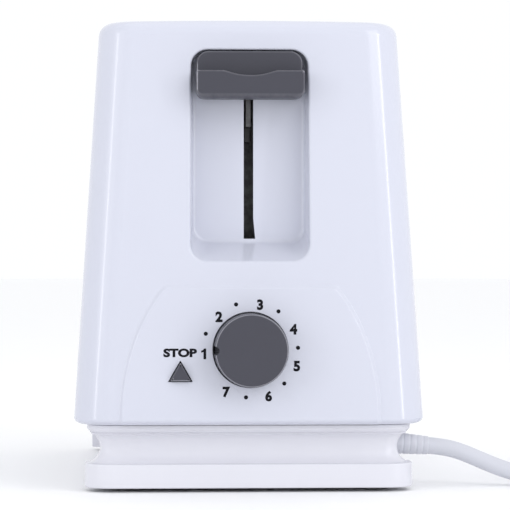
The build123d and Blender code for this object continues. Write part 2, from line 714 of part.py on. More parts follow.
# ---------------------------------------------------------------- crumb tray
def crumb_tray():
    """Pressed tray that slides under the chamber."""
    rear = BODY_LENGTH / 2 - 6
    tray = block(-TRAY_HALF, TRAY_HALF, TRAY_FRONT, rear, TRAY_FLOOR, TRAY_TOP)
    return tray - block(-TRAY_HALF + 1, TRAY_HALF - 1, TRAY_FRONT + 1, rear - 1, TRAY_FLOOR + 1, TRAY_TOP + 1)


def crumb_tray_handle():
    """Front of the tray with a finger lip."""
    rear = BODY_LENGTH / 2 - 6
    face = block(-TRAY_HALF, TRAY_HALF, rear, rear + 3.0, TRAY_FLOOR, TRAY_TOP)
    return face + block(-14, 14, rear + 3.0, rear + 5.6, TRAY_FLOOR, TRAY_FLOOR + 2.4)


# ---------------------------------------------------------------- cord
def relief_tip():
    """Centre of the strain relief's outer end."""
    drop = (RELIEF_END - WALL_OUT) * tan(radians(RELIEF_DROOP))
    return (RELIEF_END, CORD_EXIT_Y, CORD_EXIT_Z - drop)


def strain_relief():
    """Tapered sleeve with a flange inside the base wall, drooping a little outside it."""
    flange = bar((56.0, CORD_EXIT_Y, CORD_EXIT_Z), (59.4, CORD_EXIT_Y, CORD_EXIT_Z), RELIEF_FLANGE)
    neck = bar((59.4, CORD_EXIT_Y, CORD_EXIT_Z), (WALL_OUT, CORD_EXIT_Y, CORD_EXIT_Z), RELIEF_RADIUS)
    tip = relief_tip()
    root = (RELIEF_ROOT_X, CORD_EXIT_Y, CORD_EXIT_Z + (WALL_OUT - RELIEF_ROOT_X) * tan(radians(RELIEF_DROOP)))
    outer = cone(root, tip, RELIEF_RADIUS - 0.35, RELIEF_TIP)
    return flange + neck + outer


def cord_route():
    """Corners of the cord from the strain relief, down to the table and into its coil."""
    tip = relief_tip()
    return [
        tip,
        (84.5, -94.0, tip[2] - 7.5 * tan(radians(RELIEF_DROOP))),
        (92.5, -94.5, 13.9),
        (100.5, -95.8, 10.4),
        (109.3, -98.2, 6.9),
        (118.2, -101.4, 4.6),
        (127.6, -105.0, LYING),
        (137.6, -108.6, LYING),
        (147.6, -111.5, LYING),
        (157.6, -113.2, LYING),
    ]


def plug_lead_route():
    """Corners of the cord from the top of the coil, down to the table and up to the plug."""
    return [
        (180.0, -113.6, LYING + CORD_DIAMETER),
        (192.0, -112.6, 10.6),
        (203.4, -108.6, 9.2),
        (213.0, -101.4, 7.2),
        (220.6, -92.1, 5.2),
        (225.6, -81.2, 4.0),
        (228.0, -69.4, LYING),
        (227.8, -57.4, LYING),
        (225.2, -45.7, LYING),
        (222.9, -34.2, 4.2),
        (221.4, -24.3, 6.2),
        (220.4, -15.1, 9.2),
        (219.8, -6.4, 12.6),
        (219.5, 2.3, 15.6),
        (219.4, 11.0, 17.5),
        (219.4, 19.0, PLUG_AXIS),
        PLUG_NECK_END,
    ]


def tube(points, label):
    """Round cord along straight runs joined by arcs as large as the runs allow."""
    corners = [Vector(point) for point in points]
    radii = []
    for before, here, after in zip(corners, corners[1:], corners[2:]):
        turn = radians((here - before).get_angle(after - here))
        shorter = min((here - before).length, (after - here).length)
        radii.append(0.45 * shorter / tan(turn / 2))
    print(label, "bend radii", [round(radius, 1) for radius in radii])
    path = FilletPolyline(*corners, radius=radii)
    start = Plane(origin=path @ 0, z_dir=path % 0)
    solid = sweep(start * Circle(CORD_DIAMETER / 2), path=path)
    expected = pi * (CORD_DIAMETER / 2) ** 2 * path.length
    print(label, "length", round(path.length, 1), "volume ratio", round(solid.volume / expected, 4))
    return solid


def coil_cylinder(radius):
    return upright(COIL_X, COIL_Y, LYING - CORD_DIAMETER / 2, LYING + 1.5 * CORD_DIAMETER, radius)


def cord_coil():
    """Outer shape of two turns of cord lying on each other."""
    outer = COIL_RADIUS + CORD_DIAMETER / 2 + COIL_SLACK
    inner = COIL_RADIUS - CORD_DIAMETER / 2 - COIL_SLACK
    return coil_cylinder(outer) - coil_cylinder(inner)


def mains_cord():
    outer = COIL_RADIUS + CORD_DIAMETER / 2 + COIL_SLACK
    return tube(cord_route(), "mains_cord") - coil_cylinder(outer)


def plug_lead():
    outer = COIL_RADIUS + CORD_DIAMETER / 2 + COIL_SLACK
    return tube(plug_lead_route(), "plug_lead") - coil_cylinder(outer)


def plug_plane():
    """Plug's own frame: origin at its face, Z out along the pins, X level."""
    face = Vector(PLUG_NECK_END) + Vector(0, PLUG_LENGTH, 0)
    return Plane(origin=face, x_dir=(1, 0, 0), z_dir=(0, 1, 0))


def plug_body():
    """Straight earthed plug: round head, waisted grip and a sleeve for the cord."""
    head = bar((0, 0, -PLUG_HEAD), (0, 0, 0), PLUG_RADIUS)
    head = fillet(head.edges(), 1.0)
    grip = cone((0, 0, -PLUG_HEAD), (0, 0, -PLUG_GRIP), PLUG_RADIUS - 3.5, 8.0)
    sleeve = cone((0, 0, -PLUG_GRIP), (0, 0, -PLUG_LENGTH), 5.8, 4.4)
    body = head + grip + sleeve
    for side in (-1, 1):
        body -= upright(side * PIN_SPACING / 2, 0, -PIN_ROOT, 1, PIN_RADIUS)
        ys = sorted((side * (PLUG_RADIUS - 1.6), side * (PLUG_RADIUS + 1)))
        body -= block(-3, 3, ys[0], ys[1], -PLUG_HEAD + 2, 1)
    body -= upright(0, EARTH_HOLE_Y, -12, 1, 2.5)
    return plug_plane() * body


def plug_pins():
    """Two round pins with rounded tips, let into the plug's face."""
    pins = Part()
    for side in (-1, 1):
        pin = upright(side * PIN_SPACING / 2, 0, -PIN_ROOT, PIN_LENGTH, PIN_RADIUS)
        pins += fillet(pin.edges().sort_by(Axis.Z)[-1], PIN_RADIUS - 0.6)
    return plug_plane() * pins


def plug_earth_clips():
    """Two flat earth contacts let into the sides of the plug's head."""
    clips = Part()
    for side in (-1, 1):
        ys = sorted((side * (PLUG_RADIUS - 1.6), side * (PLUG_RADIUS - 0.6)))
        clips += block(-2.8, 2.8, ys[0], ys[1], -PLUG_HEAD + 2, -0.6)
    return plug_plane() * clips


# ---------------------------------------------------------------- write every piece
def pieces():
    """Every piece by its node name."""
    made = {
        "outer_shell": outer_shell(),
        "base_housing": base_housing(),
        "base_screws": base_screws(),
        "front_bulkhead": bulkhead(CHAMBER_FRONT),
        "rear_bulkhead": bulkhead(CHAMBER_REAR),
        "chassis_top_plate": chassis_top_plate(),
        "mechanism_floor": mechanism_floor(),
        "guide_rod": guide_rod(),
        "return_spring": return_spring(),
        "carriage_plate": carriage_plate(),
        "slider_bushing": slider_bushing(),
        "lever_arm": lever_arm(),
        "lever_knob": lever_knob(),
        "armature_keeper": armature_keeper(),
        "magnet_core": magnet_core(),
        "magnet_coil": magnet_coil(),
        "timer_board": timer_board(),
        "board_components": board_components(),
        "browning_potentiometer": browning_potentiometer(),
        "potentiometer_shaft": potentiometer_shaft(),
        "stop_switch": stop_switch(),
        "terminal_block": terminal_block(),
        "mains_contacts": mains_contacts(),
        "internal_leads": internal_leads(),
        "cord_clamp": cord_clamp(),
        "browning_knob": browning_knob(),
        "stop_button": stop_button(),
        "crumb_tray": crumb_tray(),
        "crumb_tray_handle": crumb_tray_handle(),
        "strain_relief": strain_relief(),
        "mains_cord": mains_cord(),
        "cord_coil": cord_coil(),
        "plug_lead": plug_lead(),
        "plug_body": plug_body(),
        "plug_pins": plug_pins(),
        "plug_earth_clips": plug_earth_clips(),
    }
    names = ("foot_front_left", "foot_front_right", "foot_rear_left", "foot_rear_right")
    for name, place in zip(names, foot_places()):
        made[name] = foot(*place)
    for name, side in (("left", -1), ("right", 1)):
        made["side_reflector_" + name] = side_reflector(side)
        made["bread_rack_" + name] = bread_rack(side)
        made["bread_guard_" + name + "_inner"] = bread_guard(side * GUARD_INNER)
        made["bread_guard_" + name + "_outer"] = bread_guard(side * GUARD_OUTER)
    for name, x in (("left", -HEATER_X), ("centre", 0.0), ("right", HEATER_X)):
        made["heater_board_" + name] = heater_board(x)
        made["heating_ribbon_" + name] = heating_ribbon(x)
    return made


def main():
    os.makedirs("parts", exist_ok=True)
    for name, solid in pieces().items():
        export_step(Pos(0, SHIFT_Y, 0) * solid, "parts/" + name + ".step")


main()
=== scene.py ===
from math import atan, cos, pi, radians, sin, sqrt, tan

import bmesh
import bpy
import numpy as np
from bpy.props import FloatProperty, FloatVectorProperty, IntProperty, PointerProperty
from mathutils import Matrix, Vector
from mathutils.geometry import delaunay_2d_cdt


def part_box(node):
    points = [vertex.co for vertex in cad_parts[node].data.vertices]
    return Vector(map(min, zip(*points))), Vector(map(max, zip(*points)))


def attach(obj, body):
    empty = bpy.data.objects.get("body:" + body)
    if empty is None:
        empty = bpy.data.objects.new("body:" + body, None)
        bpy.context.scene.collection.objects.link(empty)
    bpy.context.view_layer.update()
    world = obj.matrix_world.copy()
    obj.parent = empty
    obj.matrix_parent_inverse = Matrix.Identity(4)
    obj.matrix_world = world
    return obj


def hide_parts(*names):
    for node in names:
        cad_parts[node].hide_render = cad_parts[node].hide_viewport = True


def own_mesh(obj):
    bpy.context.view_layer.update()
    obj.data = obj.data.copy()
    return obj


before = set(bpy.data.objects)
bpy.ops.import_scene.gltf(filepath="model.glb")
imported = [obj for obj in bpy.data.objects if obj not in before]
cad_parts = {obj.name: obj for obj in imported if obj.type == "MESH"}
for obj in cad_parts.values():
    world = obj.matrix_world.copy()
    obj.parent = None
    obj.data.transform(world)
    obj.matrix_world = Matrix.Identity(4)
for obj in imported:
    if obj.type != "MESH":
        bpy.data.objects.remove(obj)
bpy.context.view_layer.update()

bl_info = {
    "name": "Pop Up Toaster",
    "version": (1, 0, 0),
    "blender": (4, 5, 0),
    "location": "3D View > Sidebar > Toaster",
    "description": "Moulded casing, controls, cord and finishes of a two slice pop up toaster",
    "category": "Add Mesh",
}

# Shapes are worked out in millimetres about the middle of the body and placed in metres.
MM = 0.001
BASE_LOW, BASE_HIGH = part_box("base_housing")
BODY_Y = (BASE_LOW.y + BASE_HIGH.y) / 2 / MM
KNOB_LOW, KNOB_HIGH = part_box("browning_knob")
KNOB_Z = (KNOB_LOW.z + KNOB_HIGH.z) / 2 / MM
KNOB_FRONT = KNOB_LOW.y / MM - BODY_Y


# ---------------------------------------------------------------- what a user may change
class ToasterBody(bpy.types.PropertyGroup):
    """Driving sizes of the casing."""

    bottom_width: FloatProperty(
        name="Bottom width", description="Casing width at its lower edge", default=0.146, unit="LENGTH")
    bottom_length: FloatProperty(
        name="Bottom length", description="Casing length at its lower edge", default=0.262, unit="LENGTH")
    bottom: FloatProperty(
        name="Bottom", description="Height of the casing's lower edge", default=0.028, unit="LENGTH")
    top: FloatProperty(
        name="Top", description="Height of the casing's crest", default=0.196, unit="LENGTH")
    taper: FloatProperty(
        name="Taper", description="How far each wall leans in over its height", default=0.0107, unit="LENGTH")
    corner: FloatProperty(
        name="Corner", description="Radius of the upright corners, at the foot", default=0.016, unit="LENGTH")
    top_round: FloatProperty(
        name="Top round", description="Radius along the upper edge", default=0.0065, unit="LENGTH")
    crown: FloatProperty(
        name="Crown", description="How far the top falls towards its sides", default=0.0008, unit="LENGTH")
    recess_width: FloatProperty(
        name="Recess width", description="Width of the lever recess", default=0.0496, unit="LENGTH")
    panel_raise: FloatProperty(
        name="Panel rise", description="How far the control panel stands out", default=0.0012, unit="LENGTH")
    wall: FloatProperty(
        name="Wall", description="Thickness given to the moulded walls", default=0.0009, unit="LENGTH")


class ToasterControls(bpy.types.PropertyGroup):
    """Driving sizes of the lever, knob, button and printed scale."""

    knob_radius: FloatProperty(
        name="Knob radius", description="Radius of the browning knob", default=0.0151, unit="LENGTH")
    stop_side: FloatProperty(
        name="Stop side", description="Side of the triangular button", default=0.0089, unit="LENGTH")
    digit_height: FloatProperty(
        name="Digit height", description="Height of the printed numbers", default=0.0044, unit="LENGTH")
    word_height: FloatProperty(
        name="Word height", description="Height of the printed capitals", default=0.0036, unit="LENGTH")


class ToasterCord(bpy.types.PropertyGroup):
    """Driving sizes of the mains lead."""

    diameter: FloatProperty(
        name="Diameter", description="Outside diameter of the lead", default=0.0072, unit="LENGTH")
    coil_radius: FloatProperty(
        name="Coil radius", description="Radius at the middle of the turns", default=0.041, unit="LENGTH")
    coil_turns: IntProperty(
        name="Coil turns", description="Turns in the put away coil", default=2)


class ToasterColours(bpy.types.PropertyGroup):
    """Colours of the moulded pieces, in linear light."""

    shell: FloatVectorProperty(
        name="Shell", description="Casing plastic", default=(0.605, 0.62, 0.71), subtype="COLOR")
    base: FloatVectorProperty(
        name="Base", description="Base plastic", default=(0.71, 0.71, 0.77), subtype="COLOR")
    control: FloatVectorProperty(
        name="Controls", description="Lever, knob and button", default=(0.046, 0.046, 0.064), subtype="COLOR")
    cord: FloatVectorProperty(
        name="Cord", description="Lead and plug", default=(0.62, 0.63, 0.69), subtype="COLOR")
    ink: FloatVectorProperty(
        name="Ink", description="Printed scale", default=(0.006, 0.006, 0.010), subtype="COLOR")
    floor: FloatVectorProperty(
        name="Floor", description="Ground under the toaster", default=(0.97, 0.97, 0.97), subtype="COLOR")


class ToasterStage(bpy.types.PropertyGroup):
    """Lights and camera."""

    key: FloatProperty(
        name="Key light", description="Large light at the front right", default=4.5, unit="POWER")
    fill: FloatProperty(
        name="Fill light", description="Large light at the front left", default=1.2, unit="POWER")
    strip: FloatProperty(
        name="Strip lights", description="Narrow upright lights that draw lines on rounded corners",
        default=3.0, unit="POWER")
    top: FloatProperty(
        name="Top light", description="Light above the toaster", default=1.0, unit="POWER")
    sky: FloatProperty(
        name="Surround", description="Strength of the even surround", default=1.03)
    distance: FloatProperty(
        name="Distance", description="Camera to front face", default=1.100, unit="LENGTH")
    lens: FloatProperty(
        name="Lens", description="Focal length of the camera", default=188.1, unit="CAMERA")


GROUPS = {
    "toaster_body": ToasterBody,
    "toaster_controls": ToasterControls,
    "toaster_cord": ToasterCord,
    "toaster_colours": ToasterColours,
    "toaster_stage": ToasterStage,
}


def body_mm(name):
    return getattr(bpy.context.scene.toaster_body, name) / MM


def control_mm(name):
    return getattr(bpy.context.scene.toaster_controls, name) / MM


def cord_mm(name):
    return getattr(bpy.context.scene.toaster_cord, name) / MM


def colour(name):
    return (*getattr(bpy.context.scene.toaster_colours, name), 1.0)


# ---------------------------------------------------------------- mesh building
class Skin:
    """Grids, fans and flat patches of one surface, in millimetres about the body's middle."""

    def __init__(self):
        self.points = []
        self.faces = []
        self.count = 0

    def add(self, points, faces):
        self.points.append(np.asarray(points, dtype=float).reshape(-1, 3))
        self.faces += (np.asarray(faces) + self.count).tolist()
        self.count += len(self.points[-1])

    def grid(self, points, keep=None, close=False, flip=False):
        """Quads between neighbouring rows and columns of a rows x columns x 3 array.
        A face points along its column step crossed with its row step."""
        rows, columns = points.shape[:2]
        index = np.arange(rows * columns).reshape(rows, columns)
        if close:
            index = np.concatenate((index, index[:, :1]), 1)
        quads = np.stack((index[:-1, :-1], index[:-1, 1:], index[1:, 1:], index[1:, :-1]), -1)
        quads = quads.reshape(-1, 4) if keep is None else quads[keep]
        self.add(points, quads[:, ::-1] if flip else quads)

    def cap(self, ring, flip=False):
        """One flat face inside a ring of points."""
        order = np.arange(len(ring))
        self.add(ring, [order[::-1] if flip else order])

    def patch(self, lift, outer, holes=(), inner=None, flip=False):
        """Triangles inside a flat outline and outside its holes, lifted from two coordinates
        to three by the given function."""
        loops = [outer, *holes]
        edges = []
        start = 0
        for loop in loops:
            order = np.arange(len(loop))
            edges.append(np.stack((order, np.roll(order, -1)), -1) + start)
            start += len(loop)
        points = np.concatenate(loops if inner is None else [*loops, inner])
        flat, lines, triangles, _, given, _ = delaunay_2d_cdt(
            points.tolist(), np.concatenate(edges).tolist(), [], 0, 1e-6)
        flat = np.array([point[:] for point in flat])
        triangles = np.array(triangles)
        walls = np.array([line for line, source in zip(lines, given) if source])
        region = regions(triangles, walls, len(flat))
        a, b, c = np.moveaxis(flat[triangles], 1, 0)
        area = np.abs((b[:, 0] - a[:, 0]) * (c[:, 1] - a[:, 1]) - (b[:, 1] - a[:, 1]) * (c[:, 0] - a[:, 0]))
        wanted = np.zeros(len(triangles), dtype=bool)
        for number in np.unique(region):
            members = np.flatnonzero(region == number)
            middle = flat[triangles[members[np.argmax(area[members])]]].mean(0)[None]
            inside = within(middle, outer)[0] and not any(within(middle, hole)[0] for hole in holes)
            wanted[members] = inside and area[members].sum() > 0.001
        triangles = triangles[wanted]
        self.add(lift(flat), triangles[:, ::-1] if flip else triangles)

    def made(self, name, body, slot, finish="", wall=0.0, sharp=34.0, orient=False):
        """Object from the surface: doubles merged, faces turned outwards if asked, wall added
        inwards, edges over the sharp angle kept crisp, other normals weighted by face area. Its
        finish is the slot's own unless another is named."""
        mesh = bpy.data.meshes.new(name)
        points = (np.concatenate(self.points) + (0, BODY_Y, 0)) * MM
        mesh.from_pydata(points.tolist(), [], self.faces)
        work = bmesh.new()
        work.from_mesh(mesh)
        bmesh.ops.remove_doubles(work, verts=work.verts, dist=0.004 * MM)
        bmesh.ops.dissolve_degenerate(work, edges=work.edges, dist=0.002 * MM)
        if orient:
            bmesh.ops.recalc_face_normals(work, faces=work.faces)
        work.to_mesh(mesh)
        work.free()
        mesh.polygons.foreach_set("use_smooth", np.ones(len(mesh.polygons), dtype=bool))
        piece = linked(name, mesh)
        if wall:
            solid = piece.modifiers.new("wall", "SOLIDIFY")
            solid.thickness = wall * MM
            solid.offset = -1.0
            bake(piece)
        piece.data.set_sharp_from_angle(angle=radians(sharp))
        weigh = piece.modifiers.new("normals", "WEIGHTED_NORMAL")
        weigh.keep_sharp = True
        weigh.weight = 60
        bake(piece)
        piece.data.materials.clear()
        piece.data.materials.append(SHADES[finish or slot])
        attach(piece, body)
        return piece


def bake(piece):
    """Replaces a piece's mesh by the result of its modifiers."""
    bpy.context.view_layer.update()
    graph = bpy.context.evaluated_depsgraph_get()
    mesh = bpy.data.meshes.new_from_object(piece.evaluated_get(graph), depsgraph=graph)
    piece.modifiers.clear()
    mesh.name = piece.name
    piece.data = mesh


def regions(triangles, walls, count):
    """Number of the region each triangle is in, where walls part regions: the least number
    is passed on across every shared edge that isn't a wall until nothing changes."""
    sides = np.sort(np.concatenate((triangles[:, :2], triangles[:, 1:], triangles[:, ::2])), 1)
    keys = sides[:, 0] * count + sides[:, 1]
    wall_keys = np.sort(walls, 1) @ (count, 1)
    owners = np.tile(np.arange(len(triangles)), 3)
    order = np.argsort(keys, kind="stable")
    shared = (keys[order][1:] == keys[order][:-1]) & ~np.isin(keys[order][1:], wall_keys)
    first, second = owners[order][1:][shared], owners[order][:-1][shared]
    number = np.arange(len(triangles))
    while True:
        least = np.minimum(number[first], number[second])
        after = number.copy()
        np.minimum.at(after, first, least)
        np.minimum.at(after, second, least)
        after = after[after]
        if (after == number).all():
            return number
        number = after


def within(points, loop):
    """Which points lie inside a closed outline: a level ray from each crosses it an odd
    number of times."""
    x, y = points[:, :1], points[:, 1:]
    ax, ay = loop[:, 0], loop[:, 1]
    bx, by = np.roll(ax, -1), np.roll(ay, -1)
    spans = (ay > y) != (by > y)
    rise = np.where(by == ay, 1.0, by - ay)
    crossing = x < (bx - ax) * (y - ay) / rise + ax
    return (np.sum(spans & crossing, 1) % 2).astype(bool)


def upright(y):
    """Function that lifts (x, z) onto an upright plane across the body."""
    return lambda flat: np.insert(flat, 1, y, 1)


def lying(z):
    """Function that lifts (x, y) onto a level plane."""
    return lambda flat: np.insert(flat, 2, z, 1)


def full_turn(steps):
    """Evenly spaced angles once round."""
    return np.linspace(0, 2 * pi, steps, endpoint=False)


def linked(name, data):
    """New object in the scene."""
    made = bpy.data.objects.new(name, data)
    bpy.context.scene.collection.objects.link(made)
    return made


def column(values):
    """A column of numbers from one number or a list."""
    return np.atleast_1d(np.asarray(values, dtype=float))[:, None]


def arc_points(centre, radius, start, end, steps):
    """Points on a circle between two angles in degrees."""
    turn = np.radians(np.linspace(start, end, steps + 1))
    return np.stack((centre[0] + radius * np.cos(turn), centre[1] + radius * np.sin(turn)), -1)


def wrap(half_x, half_y, corner, rear_x=None, side_y=None):
    """Rounded rectangle from the right end of its front run, round the back, to the left end:
    four quarter circles joined by straight runs. One row for each entry of the inputs."""
    half_x, half_y, corner = column(half_x), column(half_y), column(corner)
    quarters = []
    for sx, sy, start in ((1, -1, -90), (1, 1, 0), (-1, 1, 90), (-1, -1, 180)):
        turn = np.radians(np.linspace(start, start + 90, 11))[None, :]
        x = sx * (half_x - corner) + corner * np.cos(turn)
        y = sy * (half_y - corner) + corner * np.sin(turn)
        quarters.append(np.stack((x, y), -1))
    parts = [quarters[0]]
    for count, after in zip((12, 10, 12), quarters[1:]):
        first, last = parts[-1][:, -1:], after[:, :1]
        share = np.linspace(0, 1, count + 1)[None, 1:-1, None]
        if after is quarters[2] and rear_x is not None:
            share = (first[..., :1] - np.asarray(rear_x)[None, :, None]) / (first - last)[..., :1]
        elif after is not quarters[2] and side_y is not None:
            stops = np.asarray(side_y if after is quarters[1] else side_y[::-1])
            share = (stops[None, :, None] - first[..., 1:]) / (last - first)[..., 1:]
        parts += [first * (1 - share) + last * share, after]
    return np.concatenate(parts, 1)


def level(flat, heights):
    """Rows of flat points raised to a height for each row."""
    z = np.broadcast_to(column(heights)[..., None], (*flat.shape[:2], 1))
    return np.concatenate((flat, z), -1)


def framed(half, low, high, corner, arc=10, across=8, up=10):
    """Rounded rectangle seen from the front, counter-clockwise from the lower right corner's
    start, one row for each entry of the inputs; x and z of each point."""
    half, low, high, corner = column(half), column(low), column(high), column(corner)
    quarters = []
    for sx, edge, sz, start in ((1, low, -1, -90), (1, high, 1, 0), (-1, high, 1, 90), (-1, low, -1, 180)):
        turn = np.radians(np.linspace(start, start + 90, arc + 1))[None, :]
        x = sx * (half - corner) + corner * np.cos(turn)
        z = edge - sz * corner + corner * np.sin(turn)
        quarters.append(np.stack((x, z), -1))
    parts = []
    for count, here, after in zip((up, across, up, across), quarters, quarters[1:] + quarters[:1]):
        share = np.linspace(0, 1, count + 1)[None, 1:-1, None]
        parts += [here, here[:, -1:] * (1 - share) + after[:, :1] * share]
    return np.concatenate(parts, 1)


def rounded_polygon(corners, radii, steps=8):
    """Closed outline of straight edges joined by tangent arcs."""
    corners = np.asarray(corners, dtype=float)
    parts = []
    for before, here, after, radius in zip(
            np.roll(corners, 1, 0), corners, np.roll(corners, -1, 0), radii):
        back = (before - here) / np.linalg.norm(before - here)
        ahead = (after - here) / np.linalg.norm(after - here)
        half = np.arccos(np.clip(back @ ahead, -1, 1)) / 2
        middle = (back + ahead) / np.linalg.norm(back + ahead)
        centre = here + middle * radius / sin(half)
        first = here + back * radius / tan(half) - centre
        last = here + ahead * radius / tan(half) - centre
        start = np.arctan2(first[1], first[0])
        sweep = np.arctan2(first[0] * last[1] - first[1] * last[0], first @ last)
        turn = start + sweep * np.linspace(0, 1, steps + 1)
        parts.append(centre + radius * np.stack((np.cos(turn), np.sin(turn)), -1))
    return np.concatenate(parts)


def even(outline, spacing):
    """A closed outline with its points moved to an even spacing along its length."""
    closed = np.concatenate((outline, outline[:1]))
    run = np.concatenate(([0], np.cumsum(np.linalg.norm(np.diff(closed, axis=0), axis=1))))
    count = int(round(run[-1] / spacing))
    place = np.linspace(0, run[-1], count, endpoint=False)
    return np.stack([np.interp(place, run, closed[:, axis]) for axis in (0, 1)], -1)


def outward(outline):
    """Unit normals of a counter-clockwise outline: each chord turned a quarter clockwise."""
    chord = np.roll(outline, -1, 0) - np.roll(outline, 1, 0)
    normal = np.stack((chord[:, 1], -chord[:, 0]), -1)
    return normal / np.linalg.norm(normal, axis=1, keepdims=True)


LEVEL_RING = 0.3


def slab(skin, outline, front, back, front_round, back_round):
    """Solid between two upright planes: the outline carried from back to front, drawn in by
    r(1 - cos a) and carried on by r(1 - sin a) along each rounded edge, with a level ring and a
    face at each end. The front plane and the rounds may differ from point to point."""
    normals = outward(outline)
    turn = np.append(np.linspace(0, pi / 2, 8), pi / 2)[:, None]
    ring = np.append(np.zeros(8), LEVEL_RING)[:, None]
    rows, depths = [], []
    for plane, radius, sign, order in ((back, back_round, -1, -1), (front, front_round, 1, 1)):
        radius = np.broadcast_to(radius, len(outline))
        inset = (radius * (1 - np.cos(turn)) + ring)[::order]
        rows.append(outline - normals * inset[..., None])
        depths.append((plane + sign * radius * (1 - np.sin(turn)))[::order])
    flat = np.concatenate(rows)
    points = np.stack((flat[..., 0], np.concatenate(depths), flat[..., 1]), -1)
    skin.grid(points, close=True)
    for ring, flip in ((points[-1], False), (points[0], True)):
        skin.patch(upright(ring[0, 1]), ring[:, (0, 2)], flip=flip)


def turned(skin, profile, origin, axis="y", steps=72, turn=None, limit=None):
    """Surface of revolution: a profile of (radius, place along the axis) turned about an axis
    through the origin; a limit may hold the radius down at some angles."""
    angles = full_turn(steps) if turn is None else turn
    radius = profile[:, :1] + 0 * angles[None, :]
    along = profile[:, 1:] + 0 * angles[None, :]
    if limit is not None:
        radius = np.minimum(radius, limit(angles[None, :], along))
    across = radius * np.cos(angles)
    up = radius * np.sin(angles)
    order = {"y": (across, along, up), "z": (across, up, along), "x": (along, across, up)}[axis]
    skin.grid(np.stack(order, -1) + np.asarray(origin), close=True)


def smoothed(profile, radius):
    """Open profile with every inner corner rounded by a tangent arc."""
    profile = np.asarray(profile, dtype=float)
    parts = [profile[:1]]
    for before, here, after in zip(profile, profile[1:], profile[2:]):
        back, ahead = before - here, after - here
        long_back, long_ahead = np.linalg.norm(back), np.linalg.norm(ahead)
        back, ahead = back / long_back, ahead / long_ahead
        half = np.arccos(np.clip(back @ ahead, -1, 1)) / 2
        if half > pi / 2 - 0.02:
            parts.append(here[None])
            continue
        reach = min(radius / tan(half), 0.45 * long_back, 0.45 * long_ahead)
        share = np.linspace(0, 1, 6)[:, None]
        first, last = here + back * reach, here + ahead * reach
        parts.append(first * (1 - share) ** 2 + 2 * here * share * (1 - share) + last * share ** 2)
    return np.concatenate([*parts, profile[-1:]])


# ---------------------------------------------------------------- the body's own shape
def lean():
    return body_mm("taper") / (body_mm("top") - body_mm("bottom"))


def front_face(z):
    """Place along Y of the leaning front face at a height."""
    return -(body_mm("bottom_length") / 2 - (z - body_mm("bottom")) * lean())


def on_front(rise=0.0):
    """Function that lifts (x, z) onto a plane standing out from the front face."""
    return lambda flat: np.stack((flat[:, 0], front_face(flat[:, 1]) - rise, flat[:, 1]), -1)


UNDERSIDE = 6.0
FOOT_ROUND = (4.4, 2.6)
PANEL_HALF = 54.2
PANEL_REACH = 72.9
PANEL_CENTRE = 31.3
PANEL_TOP = 85.8
PANEL_BEVEL = 1.9
PANEL_CORNER = 3.0


def body_rows():
    """Rows of the casing from its underside to its top: outward shift from the bottom size,
    height and share of the crown. An elliptic round, a straight lean and a round upper edge."""
    low, high = body_mm("bottom"), body_mm("top")
    radius = body_mm("top_round")
    wide, tall = FOOT_ROUND
    turn = np.linspace(0, pi / 2, 9)
    shift = [np.array([-UNDERSIDE]), -wide * (1 - np.sin(turn)) - lean() * tall * (1 - np.cos(turn))]
    height = [np.array([low]), low + tall * (1 - np.cos(turn))]
    start = high - radius + radius * sin(atan(lean()))
    straight = np.linspace(low + tall, start, 13)[1:]
    shift.append(-lean() * (straight - low))
    height.append(straight)
    turn = np.linspace(atan(lean()), pi / 2, 11)[1:]
    centre = -lean() * (start - low) - radius * cos(atan(lean()))
    shift.append(centre + radius * np.cos(turn))
    height.append(high - radius + radius * np.sin(turn))
    shift, height = np.concatenate(shift), np.concatenate(height)
    crown = np.zeros(len(height))
    crown[-len(turn):] = np.sin(np.linspace(0, pi / 2, len(turn) + 1)[1:]) ** 2
    flat_low = 1 + 8
    flat_high = flat_low + 12
    return shift, height, crown, flat_low, flat_high


def crowned(points, share):
    """Lowers points by the crown of the top: a parabola across the width."""
    half = body_mm("bottom_width") / 2 - body_mm("taper")
    drop = body_mm("crown") * (points[..., 0] / half) ** 2
    lowered = points.copy()
    lowered[..., 2] -= drop * share
    return lowered


def panel_bevel():
    """Bevel of the raised panel: inset from its root and rise, a straight slope that eases in
    and out like u - k sin(2 pi u) / 2 pi."""
    share = np.linspace(0, 1, 8)
    eased = share - 0.5 * np.sin(2 * pi * share) / (2 * pi)
    return share * PANEL_BEVEL, eased * body_mm("panel_raise")


def panel_outline(inset, low):
    """Outline of the panel from its lower left end over the top to its lower right end: an
    upright ellipse cut level at its top, the two corners rounded."""
    half, reach, top = PANEL_HALF - inset, PANEL_REACH - inset, PANEL_TOP - inset

    def inner(turn):
        """Point one corner radius inside the ellipse, and the ellipse's normal there."""
        normal = np.array([reach * cos(turn), half * sin(turn)])
        normal /= np.linalg.norm(normal)
        point = np.array([half * cos(turn), PANEL_CENTRE + reach * sin(turn)])
        return point - PANEL_CORNER * normal, normal

    near, far = 0.3, 1.4
    for _ in range(40):
        turn = (near + far) / 2
        if inner(turn)[0][1] < top - PANEL_CORNER:
            near = turn
        else:
            far = turn
    centre, normal = inner(turn)
    side = np.linspace(0, turn, 26)
    ellipse = np.stack((half * np.cos(side), PANEL_CENTRE + reach * np.sin(side)), -1)
    start = np.degrees(np.arctan2(normal[1], normal[0]))
    corner = arc_points(centre, PANEL_CORNER, start, 90, 8)[1:]
    right = np.concatenate(([[half, low]], ellipse, corner))
    across = np.linspace(centre[0], -centre[0], 13)[1:-1]
    crest = np.stack((across, np.full(11, top)), -1)
    left = right[::-1] * (-1, 1)
    return np.concatenate((right, crest, left))[::-1]


def knob_ring(radius):
    """Circle about the knob's axis, as (x, z)."""
    turn = full_turn(96)
    return np.stack((radius * np.cos(turn), KNOB_Z + radius * np.sin(turn)), -1)


